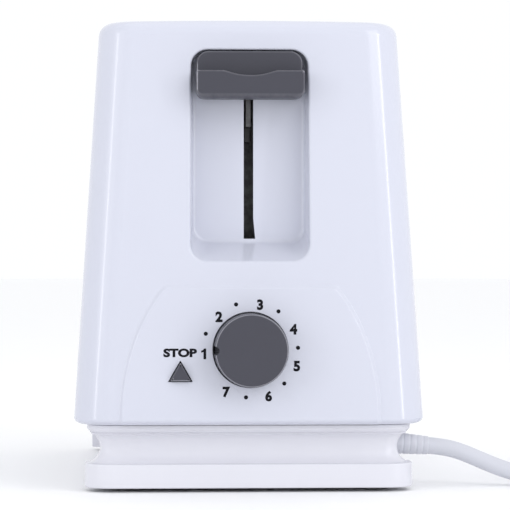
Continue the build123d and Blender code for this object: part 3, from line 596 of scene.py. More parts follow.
STOP_X = -28.9
STOP_Z = 48.9
STOP_GAP = 0.35


def stop_outline(grow, spacing=0.3):
    """Triangle of the button, apex up, grown all round, its corners a little rounded."""
    inner = control_mm("stop_side") / (2 * sqrt(3)) + grow
    corners = [(STOP_X + 2 * inner * cos(radians(turn)), STOP_Z + 2 * inner * sin(radians(turn)))
               for turn in (90, 210, 330)]
    return even(rounded_polygon(corners, [0.45] * 3), spacing)


# ---------------------------------------------------------------- casing
RECESS_LOW = 95.4
RECESS_HIGH = 183.4
RECESS_BACK = -110.7
RECESS_CORNER = 7.0
RECESS_RIM = 0.9
RECESS_DRAFT = 1.3
RECESS_RISE = 8.1
RECESS_COVE = 1.6
LEVER_SLOT = (2.0, 103.5, 181.5)
SLOT_X = 26.0
SLOT_Y = 8.0
SLOT_HALF = (15.0, 75.0)
SLOT_CORNER = 6.0
SLOT_ROUND = 1.6
COLLAR_LOW = 187.0
WELL_GAP = 0.5
WELL_FLOOR = -124.6
SHAFT_HOLE = 3.7
RIM_EASE = 0.3
STOP_DEEP = 2.6


def recess_rows():
    """Lever recess as rows of closed outlines from the front face to the back wall: a quarter
    round rim, walls that close in and a floor that rises with depth, and a quarter round cove.
    Depth and floor depend on each other through the lean of the front, so both are worked out
    three times over."""
    turn = np.linspace(0, pi / 2, 7)
    deep = np.linspace(0, 1, 8)[1:-1]
    rim, wall = len(turn), len(turn) + len(deep)
    grow = np.concatenate((RECESS_RIM * (1 - np.sin(turn)), 0 * deep, -RECESS_COVE * (1 - np.cos(turn))))
    half = body_mm("recess_width") / 2 + grow
    mouth = framed(half, RECESS_LOW - grow, RECESS_HIGH + grow, RECESS_CORNER + grow)
    lift = np.clip((RECESS_HIGH - mouth[..., 1]) / (RECESS_HIGH - RECESS_LOW), 0, 1)
    reference = front_face(RECESS_LOW)
    y = np.empty(mouth.shape[:2])
    y[wall:] = RECESS_BACK - RECESS_COVE * (1 - column(np.sin(turn)))
    flat = mouth
    for _ in range(3):
        front = front_face(flat[..., 1])
        y[:rim] = front[:rim] + RECESS_RIM * (1 - column(np.cos(turn)))
        start = front[rim:wall] + RECESS_RIM
        y[rim:wall] = start + column(deep) * (RECESS_BACK - RECESS_COVE - start)
        points = np.stack((flat[..., 0], y, flat[..., 1]), -1)
        share = (y - reference) / (RECESS_BACK - reference)
        flat = np.stack((mouth[..., 0] * (1 - RECESS_DRAFT * share / column(half)),
                         mouth[..., 1] + RECESS_RISE * share * lift), -1)
    return points


def bread_slot_rows(side):
    """Rim and collar of a bread slot: a quarter round from the crowned top into an upright
    wall that ends below the roof."""
    turn = np.linspace(0, pi / 2, 7)
    collar = np.array([0.3, 0.7, 1.0])
    grow = np.concatenate((SLOT_ROUND * (1 - np.sin(turn)), 0 * collar))
    flat = framed(SLOT_HALF[0] + grow, -SLOT_HALF[1] - grow, SLOT_HALF[1] + grow,
                  SLOT_CORNER + grow, across=5, up=24) + (side * SLOT_X, SLOT_Y)
    points = crowned(level(flat, np.full(len(flat), body_mm("top"))), 1.0)
    rim = len(turn)
    points[:rim, :, 2] -= SLOT_ROUND * (1 - column(np.cos(turn)))
    foot = points[rim - 1, :, 2]
    points[rim:, :, 2] = foot + column(collar) * (COLLAR_LOW - foot)
    return points


def panel_run():
    """Points across the panel's lower edge and how far each stands out of the front face."""
    insets, rises = panel_bevel()
    x = np.concatenate((-PANEL_HALF + insets, np.linspace(-PANEL_HALF + PANEL_BEVEL, 0, 8)[1:]))
    rise = np.concatenate((rises, np.full(7, rises[-1])))
    return np.concatenate((x, -x[-2::-1])), np.concatenate((rise, rise[-2::-1]))


def casing_walls(skin):
    """Walls from the right end of the front round the back to its left end, the strip under the
    front face, which swells with the panel, and the round above it; returns the walls and the
    upper round, each between the lowest and the highest row of the flat front, and the rim."""
    shift, height, crown, low_row, high_row = body_rows()
    half_x = body_mm("bottom_width") / 2 + shift
    half_y = column(body_mm("bottom_length") / 2 + shift)
    slope = lean() * (np.clip(height, None, height[high_row]) - body_mm("bottom"))
    corner = body_mm("corner") - slope / body_mm("taper") + (shift + slope)
    around = crowned(level(wrap(half_x, half_y[:, 0], corner), height), crown[:, None])
    skin.grid(around)

    ends = column(half_x - corner)
    run_x, run_rise = panel_run()
    below = slice(0, low_row + 1)
    x = np.concatenate((-ends[below], run_x + 0 * ends[below], ends[below]), 1)
    y = -half_y[below] - np.concatenate(([0], run_rise, [0]))
    skin.grid(np.stack((x, y, column(height)[below] + 0 * x), -1))

    x = ends[high_row:] * np.linspace(-1, 1, 15)
    points = np.stack((x, -half_y[high_row:] + 0 * x, column(height)[high_row:] + 0 * x), -1)
    upper = crowned(points, crown[high_row:, None])
    skin.grid(upper)
    rim = np.concatenate((around[-1], upper[-1, 1:-1]))[:, :2]
    return around[low_row:high_row + 1], upper[0], rim


def front_wall(skin, sides, upper):
    """Flat of the front face round the panel and the recess, the recess, and the slot in its
    back wall that the lever's arm runs in."""
    right, left = sides[:, 0][:, (0, 2)], sides[:, -1][:, (0, 2)]
    recess = recess_rows()
    outline = np.concatenate((left[:1], panel_outline(0.0, right[0, 1]), right,
                              upper[-2:0:-1][:, (0, 2)], left[:0:-1]))
    skin.patch(on_front(), outline, [recess[0][:, (0, 2)]])
    skin.grid(recess, close=True)
    slot = framed(*LEVER_SLOT, 0.5, arc=4, across=2, up=8)[0]
    skin.patch(upright(RECESS_BACK), recess[-1][:, (0, 2)], [slot])
    skin.grid(np.stack([upright(RECESS_BACK + step)(slot) for step in (0, 0.8, 1.6)]), close=True)


def control_panel(skin, low):
    """Raised panel: its bevel, its face, the well that the knob sits in and the button's hole."""
    rise = body_mm("panel_raise")
    insets, rises = panel_bevel()
    strips = [on_front(out)(panel_outline(inset, low)) for inset, out in zip(insets, rises)]
    skin.grid(np.stack(strips), flip=True)
    crest = panel_outline(PANEL_BEVEL, low)
    run_x = panel_run()[0]
    inside = run_x[np.abs(run_x) < PANEL_HALF - PANEL_BEVEL - 0.01]
    edge = np.stack((inside, np.full(len(inside), low)), -1)
    radius = control_mm("knob_radius") + WELL_GAP
    hole = stop_outline(STOP_GAP + RIM_EASE)
    skin.patch(on_front(rise), np.concatenate((crest[:1], edge, crest[:0:-1])),
               [knob_ring(radius + RIM_EASE), hole])

    rows = [on_front(rise - deep * RIM_EASE)(knob_ring(radius + grow * RIM_EASE))
            for grow, deep in ((1, 0), (0.4, 0.12), (1 / 6, 0.5), (0, 1))]
    rows += [upright(place)(knob_ring(ring)) for ring, place in (
        (radius, WELL_FLOOR - 1), (radius - 0.05, WELL_FLOOR - 0.3), (radius - 0.4, WELL_FLOOR),
        (SHAFT_HOLE, WELL_FLOOR), (SHAFT_HOLE, WELL_FLOOR + 1.2))]
    skin.grid(np.stack(rows), close=True)

    normals = outward(hole)
    rows = [on_front(rise - deep)(hole - draw * RIM_EASE * normals) for draw, deep in (
        (0, 0), (0.6, 0.12 * RIM_EASE), (0.95, 0.5 * RIM_EASE), (1, RIM_EASE), (1, STOP_DEEP))]
    skin.grid(np.stack(rows), close=True)


def casing_top(skin, rim):
    """Crowned top with the two bread slots, over a lattice of points that keeps its triangles even."""
    collars = [bread_slot_rows(side) for side in (-1, 1)]
    x, y = (grid.ravel() for grid in np.meshgrid(np.arange(-54, 55, 6.0), np.arange(-110, 111, 11.0)))
    clear = ~((np.abs(x) > 48) & (np.abs(y) > 104))
    for side in (-1, 1):
        clear &= ((np.abs(x - side * SLOT_X) >= SLOT_HALF[0] + 2.5)
                  | (np.abs(y - SLOT_Y) >= SLOT_HALF[1] + 2.5))
    skin.patch(lambda flat: crowned(lying(body_mm("top"))(flat), 1.0), rim,
               [collar[0][:, :2] for collar in collars], np.stack((x, y), -1)[clear])
    for collar in collars:
        skin.grid(collar, close=True)


def casing_surface():
    """Outer surface of the casing: a tapered rounded block with a crowned top, two bread slots,
    the lever recess with its slot, and the raised panel with the knob's well and the button's hole."""
    skin = Skin()
    sides, upper, rim = casing_walls(skin)
    front_wall(skin, sides, upper)
    control_panel(skin, sides[0, 0, 2])
    casing_top(skin, rim)
    return skin


# ---------------------------------------------------------------- base
BLOCK = (68.4, 126.4, 12.0)
BLOCK_LOW = 1.7
BLOCK_TOP = 11.7
COVE_RADIUS = 6.9
COVE_Z = 18.2
COVE_DEEPEST = 62.05
MOULDING_HALF = 67.5
MOULDING_LOW = 24.6
MOULDING_TOP = 27.8
TRAY_MOUTH = (50.6, 4.2, 9.8)
TUNNEL_END = 96.0
SCREW = (54.0, 112.0, 3.5, 4.4)
FOOT = (47.6, 100.0)
VENT_HALF = (30.0, 1.5)
VENT_START = -108.0
VENT_PITCH = 7.0
GRIP_HALF = 62.2
GRIP_ENDS = (-104.0, 112.0)


def base_rows():
    """Profile of the base from its underside to its upper edge as (half width, height): a block
    with eased edges, a circular cove and a chamfered moulding."""
    cove_x = COVE_DEEPEST + COVE_RADIUS
    low = np.degrees(np.arcsin((BLOCK_TOP - COVE_Z) / COVE_RADIUS))
    high = np.degrees(np.arcsin((MOULDING_LOW - COVE_Z) / COVE_RADIUS))
    cove = arc_points((cove_x, COVE_Z), COVE_RADIUS, 180 - low, 180 - high, 18)
    block = smoothed([(BLOCK[0] - 6, BLOCK_LOW), (BLOCK[0], BLOCK_LOW), (BLOCK[0], TRAY_MOUTH[1]),
                      (BLOCK[0], TRAY_MOUTH[2]), (BLOCK[0], BLOCK_TOP), tuple(cove[0])], 0.7)
    moulding = smoothed([tuple(cove[-1]), (MOULDING_HALF - 1.4, MOULDING_LOW + 0.1),
                         (MOULDING_HALF, MOULDING_LOW + 1.4), (MOULDING_HALF, MOULDING_TOP),
                         (MOULDING_HALF - 7, MOULDING_TOP)], 0.35)
    return np.concatenate((block, cove[1:-1], moulding))


def circle(x, y, radius, steps=28):
    turn = full_turn(steps)
    return np.stack((x + radius * np.cos(turn), y + radius * np.sin(turn)), -1)


def base_walls():
    """The base's profile carried round a rounded rectangle, its sides cut back between the two
    ends of the grips, as rows of points."""
    profile = base_rows()
    shift = profile[:, 0] - BLOCK[0]
    near, far = GRIP_ENDS
    rear_x = np.concatenate(([56.0], np.linspace(TRAY_MOUTH[0], -TRAY_MOUTH[0], 12), [-56.0]))
    side_y = np.concatenate(([near - 2, near], np.linspace(near, far, 14)[1:-1], [far, far + 1.5]))
    outline = wrap(BLOCK[0] + shift, BLOCK[1] + shift, np.clip(BLOCK[2] + shift, 3.0, None),
                   rear_x=rear_x, side_y=side_y)
    grip = (outline[..., 1] > near - 0.5) & (outline[..., 1] < far + 0.5) & (profile[:, 1:] < COVE_Z)
    outline[..., 0] = np.where(grip, np.clip(outline[..., 0], -GRIP_HALF, GRIP_HALF), outline[..., 0])
    share = np.linspace(-1, 1, 13)[1:-1]
    front = np.stack((outline[:, :1, 0] * share, outline[:, :1, 1] + 0 * share), -1)
    return level(np.concatenate((outline, front), 1), profile[:, 1])


def tray_mouth(skin, points):
    """The walls less the mouth that the crumb tray slides in through, and the tunnel behind it."""
    a, b = (int(np.argmin(np.abs(points[:14, 0, 2] - place))) for place in TRAY_MOUTH[1:])
    x = np.where(points[a, :, 1] < TUNNEL_END, np.inf, points[a, :, 0])
    c, d = (int(np.argmin(np.abs(x - place))) for place in (TRAY_MOUTH[0], -TRAY_MOUTH[0]))
    keep = np.ones((len(points) - 1, points.shape[1]), dtype=bool)
    keep[a:b, c:d] = False
    skin.grid(points, keep=keep, close=True)
    mouth = np.concatenate((points[a, c:d], points[a:b, d], points[b, d:c:-1], points[b:a:-1, c]))
    skin.grid(np.stack((mouth, upright(TUNNEL_END)(mouth[:, (0, 2)]))), close=True)


def base_surface():
    """Outer surface of the base: walls with the crumb tray's mouth at the rear, and an underside
    with four vents and four screw recesses."""
    skin = Skin()
    points = base_walls()
    tray_mouth(skin, points)
    recesses = [circle(sx * SCREW[0], sy * SCREW[1], SCREW[2]) for sx in (-1, 1) for sy in (-1, 1)]
    x, y = VENT_HALF
    vent = rounded_polygon([(-x, -y), (x, -y), (x, y), (-x, y)], [y - 0.1] * 4, 5)
    vents = [vent + (0, VENT_START + row * VENT_PITCH) for row in range(4)]
    underside = lying(BLOCK_LOW)
    skin.patch(underside, points[0, :, :2], [*recesses, *vents], flip=True)
    for hole, deep in [(ring, SCREW[3]) for ring in recesses] + [(ring, 3.0) for ring in vents]:
        skin.grid(np.stack((underside(hole), lying(BLOCK_LOW + deep)(hole))), close=True, flip=True)
    for ring in recesses:
        skin.cap(lying(BLOCK_LOW + SCREW[3])(ring), flip=True)
    return skin


# ---------------------------------------------------------------- shading
def group(name, inputs, outputs):
    """New shader node group with its own sockets, what enters it and what leaves it."""
    tree = bpy.data.node_groups.new(name, "ShaderNodeTree")
    kinds = {"c": "NodeSocketColor", "f": "NodeSocketFloat", "v": "NodeSocketVector"}
    for label, kind, default in inputs:
        socket = tree.interface.new_socket(name=label, in_out="INPUT", socket_type=kinds[kind])
        socket.default_value = default
    for label, kind in outputs:
        tree.interface.new_socket(name=label, in_out="OUTPUT", socket_type=kinds[kind])
    return tree, tree.nodes.new("NodeGroupInput").outputs, tree.nodes.new("NodeGroupOutput").inputs


def node(tree, kind, settings=None, **inputs):
    """New node with its settings, and its input sockets set or linked by name or number."""
    made = tree.nodes.new("ShaderNode" + kind)
    for label, value in (settings or {}).items():
        setattr(made, label, value)
    for label, value in inputs.items():
        key = int(label[1:]) if label[0] == "i" and label[1:].isdigit() else label.replace("_", " ")
        if isinstance(value, bpy.types.NodeSocket):
            tree.links.new(value, made.inputs[key])
        else:
            made.inputs[key].default_value = value
    return made


def maths(tree, kind, a, b=0.0, clamp=False):
    """Result of one sum or product of numbers or sockets."""
    return node(tree, "Math", {"operation": kind, "use_clamp": clamp}, i0=a, i1=b).outputs[0]


def times(tree, a, b, clamp=False):
    return maths(tree, "MULTIPLY", a, b, clamp)


def plus(tree, a, b, clamp=False):
    return maths(tree, "ADD", a, b, clamp)


def mixed(tree, amount, a, b):
    """Colour between two colours."""
    made = node(tree, "Mix", {"data_type": "RGBA"})
    for index, value in ((0, amount), (6, a), (7, b)):
        if isinstance(value, bpy.types.NodeSocket):
            tree.links.new(value, made.inputs[index])
        else:
            made.inputs[index].default_value = value
    return made.outputs[2]


def noise(tree, place, scale, detail=3.0, rough=0.55):
    return node(tree, "TexNoise", None, Vector=place, Scale=scale, Detail=detail,
                Roughness=rough).outputs[0]


def moulded_group():
    """Moulded plastic: slow colour drift, a fine texture for the bump and uneven gloss."""
    tree, given, leave = group("moulded_plastic", [
        ("Colour", "c", (0.8, 0.8, 0.8, 1)), ("Drift", "f", 0.03), ("Grain", "f", 1800.0),
        ("Peel", "f", 260.0), ("Roughness", "f", 0.3), ("Uneven", "f", 0.06)],
        [("Colour", "c"), ("Roughness", "f"), ("Height", "f")])
    place = node(tree, "TexCoord").outputs["Object"]
    slow = noise(tree, place, 22.0, 2.0)
    grain = noise(tree, place, given["Grain"], 2.0)
    peel = noise(tree, place, given["Peel"], 1.0)
    shade = times(tree, given["Drift"], slow)
    speck = times(tree, times(tree, given["Drift"], grain), 0.6)
    dark = mixed(tree, plus(tree, shade, speck, True), given["Colour"], (0, 0, 0, 1))
    tree.links.new(dark, leave["Colour"])
    drift = times(tree, maths(tree, "SUBTRACT", slow, 0.5), given["Uneven"])
    fine = times(tree, maths(tree, "SUBTRACT", grain, 0.5), given["Uneven"])
    gloss = plus(tree, given["Roughness"], plus(tree, drift, fine), True)
    tree.links.new(gloss, leave["Roughness"])
    height = plus(tree, times(tree, grain, 0.35), times(tree, peel, 0.65))
    tree.links.new(height, leave["Height"])
    return tree


def edge_group():
    """Edge wear and painted highlight: where the surface turns outwards sharply, broken up by noise."""
    tree, given, leave = group("edge_wear_and_highlight", [
        ("Start", "f", 0.512), ("End", "f", 0.55), ("Amount", "f", 0.5)], [("Mask", "f")])
    turning = node(tree, "NewGeometry").outputs["Pointiness"]
    place = node(tree, "TexCoord").outputs["Object"]
    broken = noise(tree, place, 420.0, 3.0)
    ramp = node(tree, "MapRange", {"clamp": True}, Value=turning, From_Min=given["Start"],
                From_Max=given["End"]).outputs[0]
    mask = times(tree, times(tree, ramp, broken), given["Amount"], True)
    tree.links.new(mask, leave["Mask"])
    return tree


def drawn_group():
    """Rolled or plated metal: fine streaks along one axis over broad cloudy patches."""
    tree, given, leave = group("rolled_metal", [
        ("Colour", "c", (0.6, 0.6, 0.6, 1)), ("Stretch", "v", (1.0, 1.0, 0.05)), ("Streaks", "f", 900.0),
        ("Clouds", "f", 60.0), ("Drift", "f", 0.25), ("Roughness", "f", 0.35), ("Uneven", "f", 0.2)],
        [("Colour", "c"), ("Roughness", "f"), ("Height", "f")])
    place = node(tree, "TexCoord").outputs["Object"]
    stretched = node(tree, "VectorMath", {"operation": "MULTIPLY"}, i0=place,
                     i1=given["Stretch"]).outputs[0]
    streak = noise(tree, stretched, given["Streaks"], 3.0)
    cells = node(tree, "TexVoronoi", None, Vector=place, Scale=given["Clouds"],
                 Randomness=1.0).outputs["Distance"]
    cloud = noise(tree, place, given["Clouds"], 3.0)
    blend = plus(tree, times(tree, cells, 0.5), times(tree, cloud, 0.5))
    amount = times(tree, given["Drift"], blend, True)
    tree.links.new(mixed(tree, amount, given["Colour"], (0.02, 0.02, 0.02, 1)), leave["Colour"])
    spread = times(tree, maths(tree, "SUBTRACT", blend, 0.4), given["Uneven"])
    tree.links.new(plus(tree, given["Roughness"], spread, True), leave["Roughness"])
    tree.links.new(streak, leave["Height"])
    return tree


def dust_group():
    """Dust: patches that gather on faces that look up."""
    tree, given, leave = group("settled_dust", [("Amount", "f", 0.1)], [("Mask", "f")])
    normal = node(tree, "NewGeometry").outputs["Normal"]
    up = node(tree, "SeparateXYZ", None, i0=normal).outputs[2]
    place = node(tree, "TexCoord").outputs["Object"]
    patches = noise(tree, place, 90.0, 5.0, 0.7)
    flat = times(tree, maths(tree, "MAXIMUM", up, 0.0), patches)
    tree.links.new(times(tree, flat, given["Amount"], True), leave["Mask"])
    return tree


def placed(tree, name, **values):
    """A shared group placed in a material with its own values."""
    made = tree.nodes.new("ShaderNodeGroup")
    made.node_tree = bpy.data.node_groups[name]
    for label, value in values.items():
        if isinstance(value, bpy.types.NodeSocket):
            tree.links.new(value, made.inputs[label])
        else:
            made.inputs[label].default_value = value
    return made


def material(name, **constants):
    """New material with its Principled shader and constant values on its own sockets."""
    made = bpy.data.materials.new(name)
    made.use_nodes = True
    shader = made.node_tree.nodes["Principled BSDF"]
    for label, value in constants.items():
        shader.inputs[label.replace("_", " ")].default_value = value
    return made, made.node_tree, shader


def bumped(tree, shader, height, strength, depth):
    bump = node(tree, "Bump", None, Height=height, Strength=strength, Distance=depth)
    tree.links.new(bump.outputs[0], shader.inputs["Normal"])


def plastic(name, tint, grain=1800.0, peel=260.0, roughness=0.3, drift=0.03, uneven=0.06, bump=0.12,
            edge=0.0, edge_tint=(0.5, 0.5, 0.52, 1), dust=0.0, **constants):
    """Moulded plastic with optional dust and lighter edges: wear on black plastic, painted highlight on the
    grey controls.
    """
    made, tree, shader = material(name, **constants)
    base = placed(tree, "moulded_plastic", Colour=tint, Drift=drift, Grain=grain, Peel=peel,
                  Roughness=roughness, Uneven=uneven)
    tone = base.outputs["Colour"]
    # lighter edges: painted highlight lines on the grey controls, wear on the black plastic
    if edge:
        wear_and_highlight = placed(tree, "edge_wear_and_highlight", Amount=edge)
        tone = mixed(tree, wear_and_highlight.outputs["Mask"], tone, edge_tint)
    if dust:
        settled = placed(tree, "settled_dust", Amount=dust)
        tone = mixed(tree, settled.outputs["Mask"], tone, (0.62, 0.60, 0.56, 1))
    tree.links.new(tone, shader.inputs["Base Color"])
    tree.links.new(base.outputs["Roughness"], shader.inputs["Roughness"])
    bumped(tree, shader, base.outputs["Height"], bump, 0.0001)
    return made


def metal(name, tint, stretch=(1.0, 1.0, 0.05), streaks=900.0, clouds=60.0, drift=0.25, roughness=0.35,
          uneven=0.2, bump=0.1, edge=0.3, metallic=1.0):
    """Plated, rolled or drawn metal with bright edges from wear."""
    made, tree, shader = material(name, Metallic=metallic)
    base = placed(tree, "rolled_metal", Colour=tint, Stretch=stretch, Streaks=streaks, Clouds=clouds,
                  Drift=drift, Roughness=roughness, Uneven=uneven)
    wear_and_highlight = placed(tree, "edge_wear_and_highlight", Amount=edge)
    tone = mixed(tree, wear_and_highlight.outputs["Mask"], base.outputs["Colour"], (0.85, 0.85, 0.85, 1))
    tree.links.new(tone, shader.inputs["Base Color"])
    tree.links.new(base.outputs["Roughness"], shader.inputs["Roughness"])
    bumped(tree, shader, base.outputs["Height"], bump, 0.0001)
    return made


def mica_sheet():
    """Pressed mica: overlapping pale flakes with a pearly gloss and darker scorch near its middle."""
    made, tree, shader = material("mica_board", IOR=1.58, Coat_Weight=0.25, Coat_Roughness=0.25)
    place = node(tree, "TexCoord").outputs["Object"]
    flakes = node(tree, "TexVoronoi", {"feature": "F1"}, Vector=place, Scale=260.0, Randomness=1.0)
    small = node(tree, "TexVoronoi", {"feature": "F1"}, Vector=place, Scale=900.0, Randomness=1.0)
    tone = mixed(tree, flakes.outputs["Distance"], (0.66, 0.60, 0.48, 1), (0.42, 0.35, 0.25, 1))
    tone = mixed(tree, times(tree, small.outputs["Distance"], 0.5), tone, (0.80, 0.76, 0.66, 1))
    scorch = noise(tree, place, 28.0, 4.0)
    tone = mixed(tree, times(tree, scorch, 0.35), tone, (0.16, 0.10, 0.06, 1))
    tree.links.new(tone, shader.inputs["Base Color"])
    tree.links.new(plus(tree, times(tree, scorch, 0.2), 0.35), shader.inputs["Roughness"])
    bumped(tree, shader, flakes.outputs["Distance"], 0.3, 0.0002)
    return made


def wound_wire(name, tint, scale):
    """Lacquered wire wound in level turns: ridges along the coil's height, with painted shade darkening the
    grooves between turns.
    """
    made, tree, shader = material(name, Metallic=0.8, Coat_Weight=0.5, Coat_Roughness=0.12)
    place = node(tree, "TexCoord").outputs["Object"]
    turns = node(tree, "TexWave", {"wave_type": "BANDS", "bands_direction": "Z"}, Vector=place,
                 Scale=scale, Distortion=0.6, Detail=1.0).outputs[0]
    # darker where the wave is low, in the grooves between turns: painted shade
    tone = mixed(tree, turns, (tint[0] * 0.3, tint[1] * 0.3, tint[2] * 0.3, 1), tint)
    tree.links.new(tone, shader.inputs["Base Color"])
    rough = plus(tree, times(tree, noise(tree, place, 300.0), 0.25), 0.2)
    tree.links.new(rough, shader.inputs["Roughness"])
    bumped(tree, shader, turns, 0.6, 0.0003)
    return made


def laminate_board():
    """Brown laminate with its fibres showing through a thin lacquer."""
    made, tree, shader = material("circuit_board", Coat_Weight=0.3, Coat_Roughness=0.3)
    place = node(tree, "TexCoord").outputs["Object"]
    long = node(tree, "VectorMath", {"operation": "MULTIPLY"}, i0=place, i1=(0.15, 1.0, 1.0)).outputs[0]
    fibres = noise(tree, long, 1500.0, 2.0)
    clouds = noise(tree, place, 80.0, 3.0)
    tone = mixed(tree, fibres, (0.34, 0.20, 0.08, 1), (0.52, 0.36, 0.17, 1))
    tone = mixed(tree, times(tree, clouds, 0.3), tone, (0.20, 0.11, 0.05, 1))
    tree.links.new(tone, shader.inputs["Base Color"])
    tree.links.new(plus(tree, times(tree, clouds, 0.2), 0.4), shader.inputs["Roughness"])
    bumped(tree, shader, fibres, 0.2, 0.0001)
    return made


def make_materials():
    """Every finish by its name."""
    control, cord = colour("control"), colour("cord")
    touched = dict(grain=2600.0, peel=700.0, roughness=0.42, drift=0.10, uneven=0.12, bump=0.22, dust=0.02)
    plastics = {
        "white_shell": (colour("shell"), dict(
            roughness=0.17, drift=0.02, bump=0.05, peel=190.0, uneven=0.05, dust=0.05, Coat_Weight=0.15,
            Coat_Roughness=0.12)),
        "white_base": (colour("base"), dict(
            roughness=0.22, drift=0.025, bump=0.06, peel=210.0, dust=0.06, Coat_Weight=0.1,
            Coat_Roughness=0.2)),
        "white_foot": (colour("base"), dict(
            roughness=0.55, drift=0.06, grain=1400.0, bump=0.25, dust=0.05)),
        # its lighter edges paint highlight lines along the lever's and button's edges
        "grey_plastic": (control, dict(edge=1.3, edge_tint=(0.34, 0.34, 0.38, 1), **touched)),
        "knob_plastic": (control, touched),
        # lighter than the knob's plastic: a painted highlight on the knob's narrow bevel
        "painted_highlight_edge": ((0.24, 0.24, 0.275, 1), dict(
            grain=2600.0, peel=700.0, roughness=0.22, drift=0.10, bump=0.08)),
        "printed_ink": (colour("ink"), dict(
            grain=5200.0, roughness=0.6, drift=0.2, bump=0.2, Specular_IOR_Level=0.15)),
        "cord_sheath": (cord, dict(
            grain=2400.0, peel=500.0, roughness=0.46, drift=0.05, uneven=0.10, bump=0.2, dust=0.08)),
        "plug_moulding": (cord, dict(
            grain=1900.0, peel=350.0, roughness=0.40, drift=0.05, uneven=0.10, bump=0.22, dust=0.06)),
        "black_plastic": ((0.03, 0.03, 0.032, 1), dict(
            grain=1700.0, roughness=0.42, drift=0.3, bump=0.25, edge=0.4, edge_tint=(0.2, 0.2, 0.2, 1),
            dust=0.15)),
        "lead_insulation": ((0.22, 0.12, 0.05, 1), dict(
            grain=2400.0, roughness=0.4, drift=0.15, bump=0.15)),
        "tie_strip": ((0.60, 0.61, 0.66, 1), dict(grain=1500.0, roughness=0.5, drift=0.12, bump=0.4)),
    }
    metals = {
        "zinc_steel": ((0.60, 0.61, 0.63, 1), dict(clouds=140.0, roughness=0.34, edge=0.25)),
        "dark_steel": ((0.035, 0.033, 0.038, 1), dict(
            clouds=90.0, drift=0.35, roughness=0.42, edge=0.25, metallic=0.7)),
        "rack_steel": ((0.64, 0.63, 0.62, 1), dict(streaks=1500.0, drift=0.35, roughness=0.28)),
        "polished_rod": ((0.76, 0.76, 0.77, 1), dict(
            streaks=2400.0, drift=0.12, roughness=0.14, uneven=0.1, bump=0.04, edge=0.1)),
        "spring_steel": ((0.52, 0.52, 0.54, 1), dict(stretch=(1, 1, 1), drift=0.3, roughness=0.27)),
        "heating_ribbon": ((0.30, 0.27, 0.25, 1), dict(
            stretch=(1, 0.08, 1), clouds=240.0, drift=0.6, roughness=0.5)),
        "contact_brass": ((0.78, 0.56, 0.26, 1), dict(clouds=200.0, drift=0.3, roughness=0.3)),
        "plated_pins": ((0.72, 0.71, 0.68, 1), dict(
            stretch=(1, 0.05, 1), drift=0.2, roughness=0.2, edge=0.2)),
    }
    shades = {name: plastic(name, tint, **values) for name, (tint, values) in plastics.items()}
    shades.update({name: metal(name, tint, **values) for name, (tint, values) in metals.items()})
    shades["mica_board"] = mica_sheet()
    shades["coil_winding"] = wound_wire("coil_winding", (0.62, 0.22, 0.09, 1), 900.0)
    shades["circuit_board"] = laminate_board()
    return shades


SHADES = {}


# ---------------------------------------------------------------- cord
RELIEF_START = (61.6, -94.0, 18.2)
RELIEF_TIP = (77.0, -94.0, 16.93)
LYING = 3.65
ROUTE_OUT = [
    RELIEF_TIP,
    (84.5, -94.0, 16.27),
    (92.5, -94.5, 13.9),
    (100.5, -95.8, 10.4),
    (109.3, -98.2, 6.9),
    (118.2, -101.4, 4.6),
    (127.6, -105.0, LYING),
    (137.6, -108.6, LYING),
    (147.6, -111.5, LYING),
    (157.6, -113.2, LYING),
]
COIL_CENTRE = (170.0, -72.5)
ROUTE_PLUG = [
    (180.0, -113.6, LYING + 7.2),
    (192.0, -112.6, 10.6),
    (203.4, -108.6, 9.2),
    (213.0, -101.4, 7.2),
    (220.6, -92.1, 5.2),
    (225.6, -81.2, 4.0),
    (228.0, -69.4, LYING),
    (227.8, -57.4, LYING),
    (225.2, -45.7, LYING),
    (222.9, -34.2, 4.2),
    (221.4, -24.3, 6.2),
    (220.4, -15.1, 9.2),
    (219.8, -6.4, 12.6),
    (219.5, 2.3, 15.6),
    (219.4, 11.0, 17.5),
    (219.4, 19.0, 18.05),
    (219.4, 27.0, 18.05),
]
PLUG_AXIS = (219.4, 0.0, 18.05)
PLUG_FACE = 89.0
COIL_STEPS = 16
RELIEF_RADIUS = (4.75, 3.9)
RELIEF_RINGS = (0.28, 0.93, 5.5, 0.16)
RELIEF_COLLAR = [(3.0, 60.3), (6.2, 60.3), (6.2, 61.9), (4.6, 62.6), (4.4, 61.0)]
PLUG_HEAD = [(0.0, 0.0), (15.4, 0.0), (15.9, -0.8), (16.6, -0.8), (17.0, 0.0), (18.0, 0.0), (18.0, -16.0),
             (16.6, -17.4), (14.4, -18.6)]
PLUG_GRIP = (-19.0, -41.5, 14.0, 8.0)
PLUG_SLEEVE = (-42.5, -62.0, 5.9, 4.4)
PIN = [(0.0, -5.0), (2.4, -5.0), (2.4, 17.4), (1.5, 19.0), (0.0, 19.0)]
PIN_X = 9.5


def coil_points():
    """Control points of the coil: whole turns counter-clockwise from its nearest point; the
    height steps up by one cord over the last third of each turn but the last. A quadratic
    curve runs inside its control points, so they stand out by that share."""
    turns = bpy.context.scene.toaster_cord.coil_turns
    radius = cord_mm("coil_radius") / 0.981
    points = []
    for step in range(1, turns * COIL_STEPS):
        turn = 2 * pi * step / COIL_STEPS - pi / 2
        whole, part = divmod(step / COIL_STEPS, 1)
        climb = min(max((part - 0.68) / 0.32, 0.0), 1.0) if whole < turns - 1 else 0.0
        z = LYING + cord_mm("diameter") * (whole + climb * climb * (3 - 2 * climb))
        points.append((COIL_CENTRE[0] + radius * cos(turn), COIL_CENTRE[1] + radius * sin(turn), z))
    return points


def metres(point):
    return Vector((point[0] * MM, (point[1] + BODY_Y) * MM, point[2] * MM))


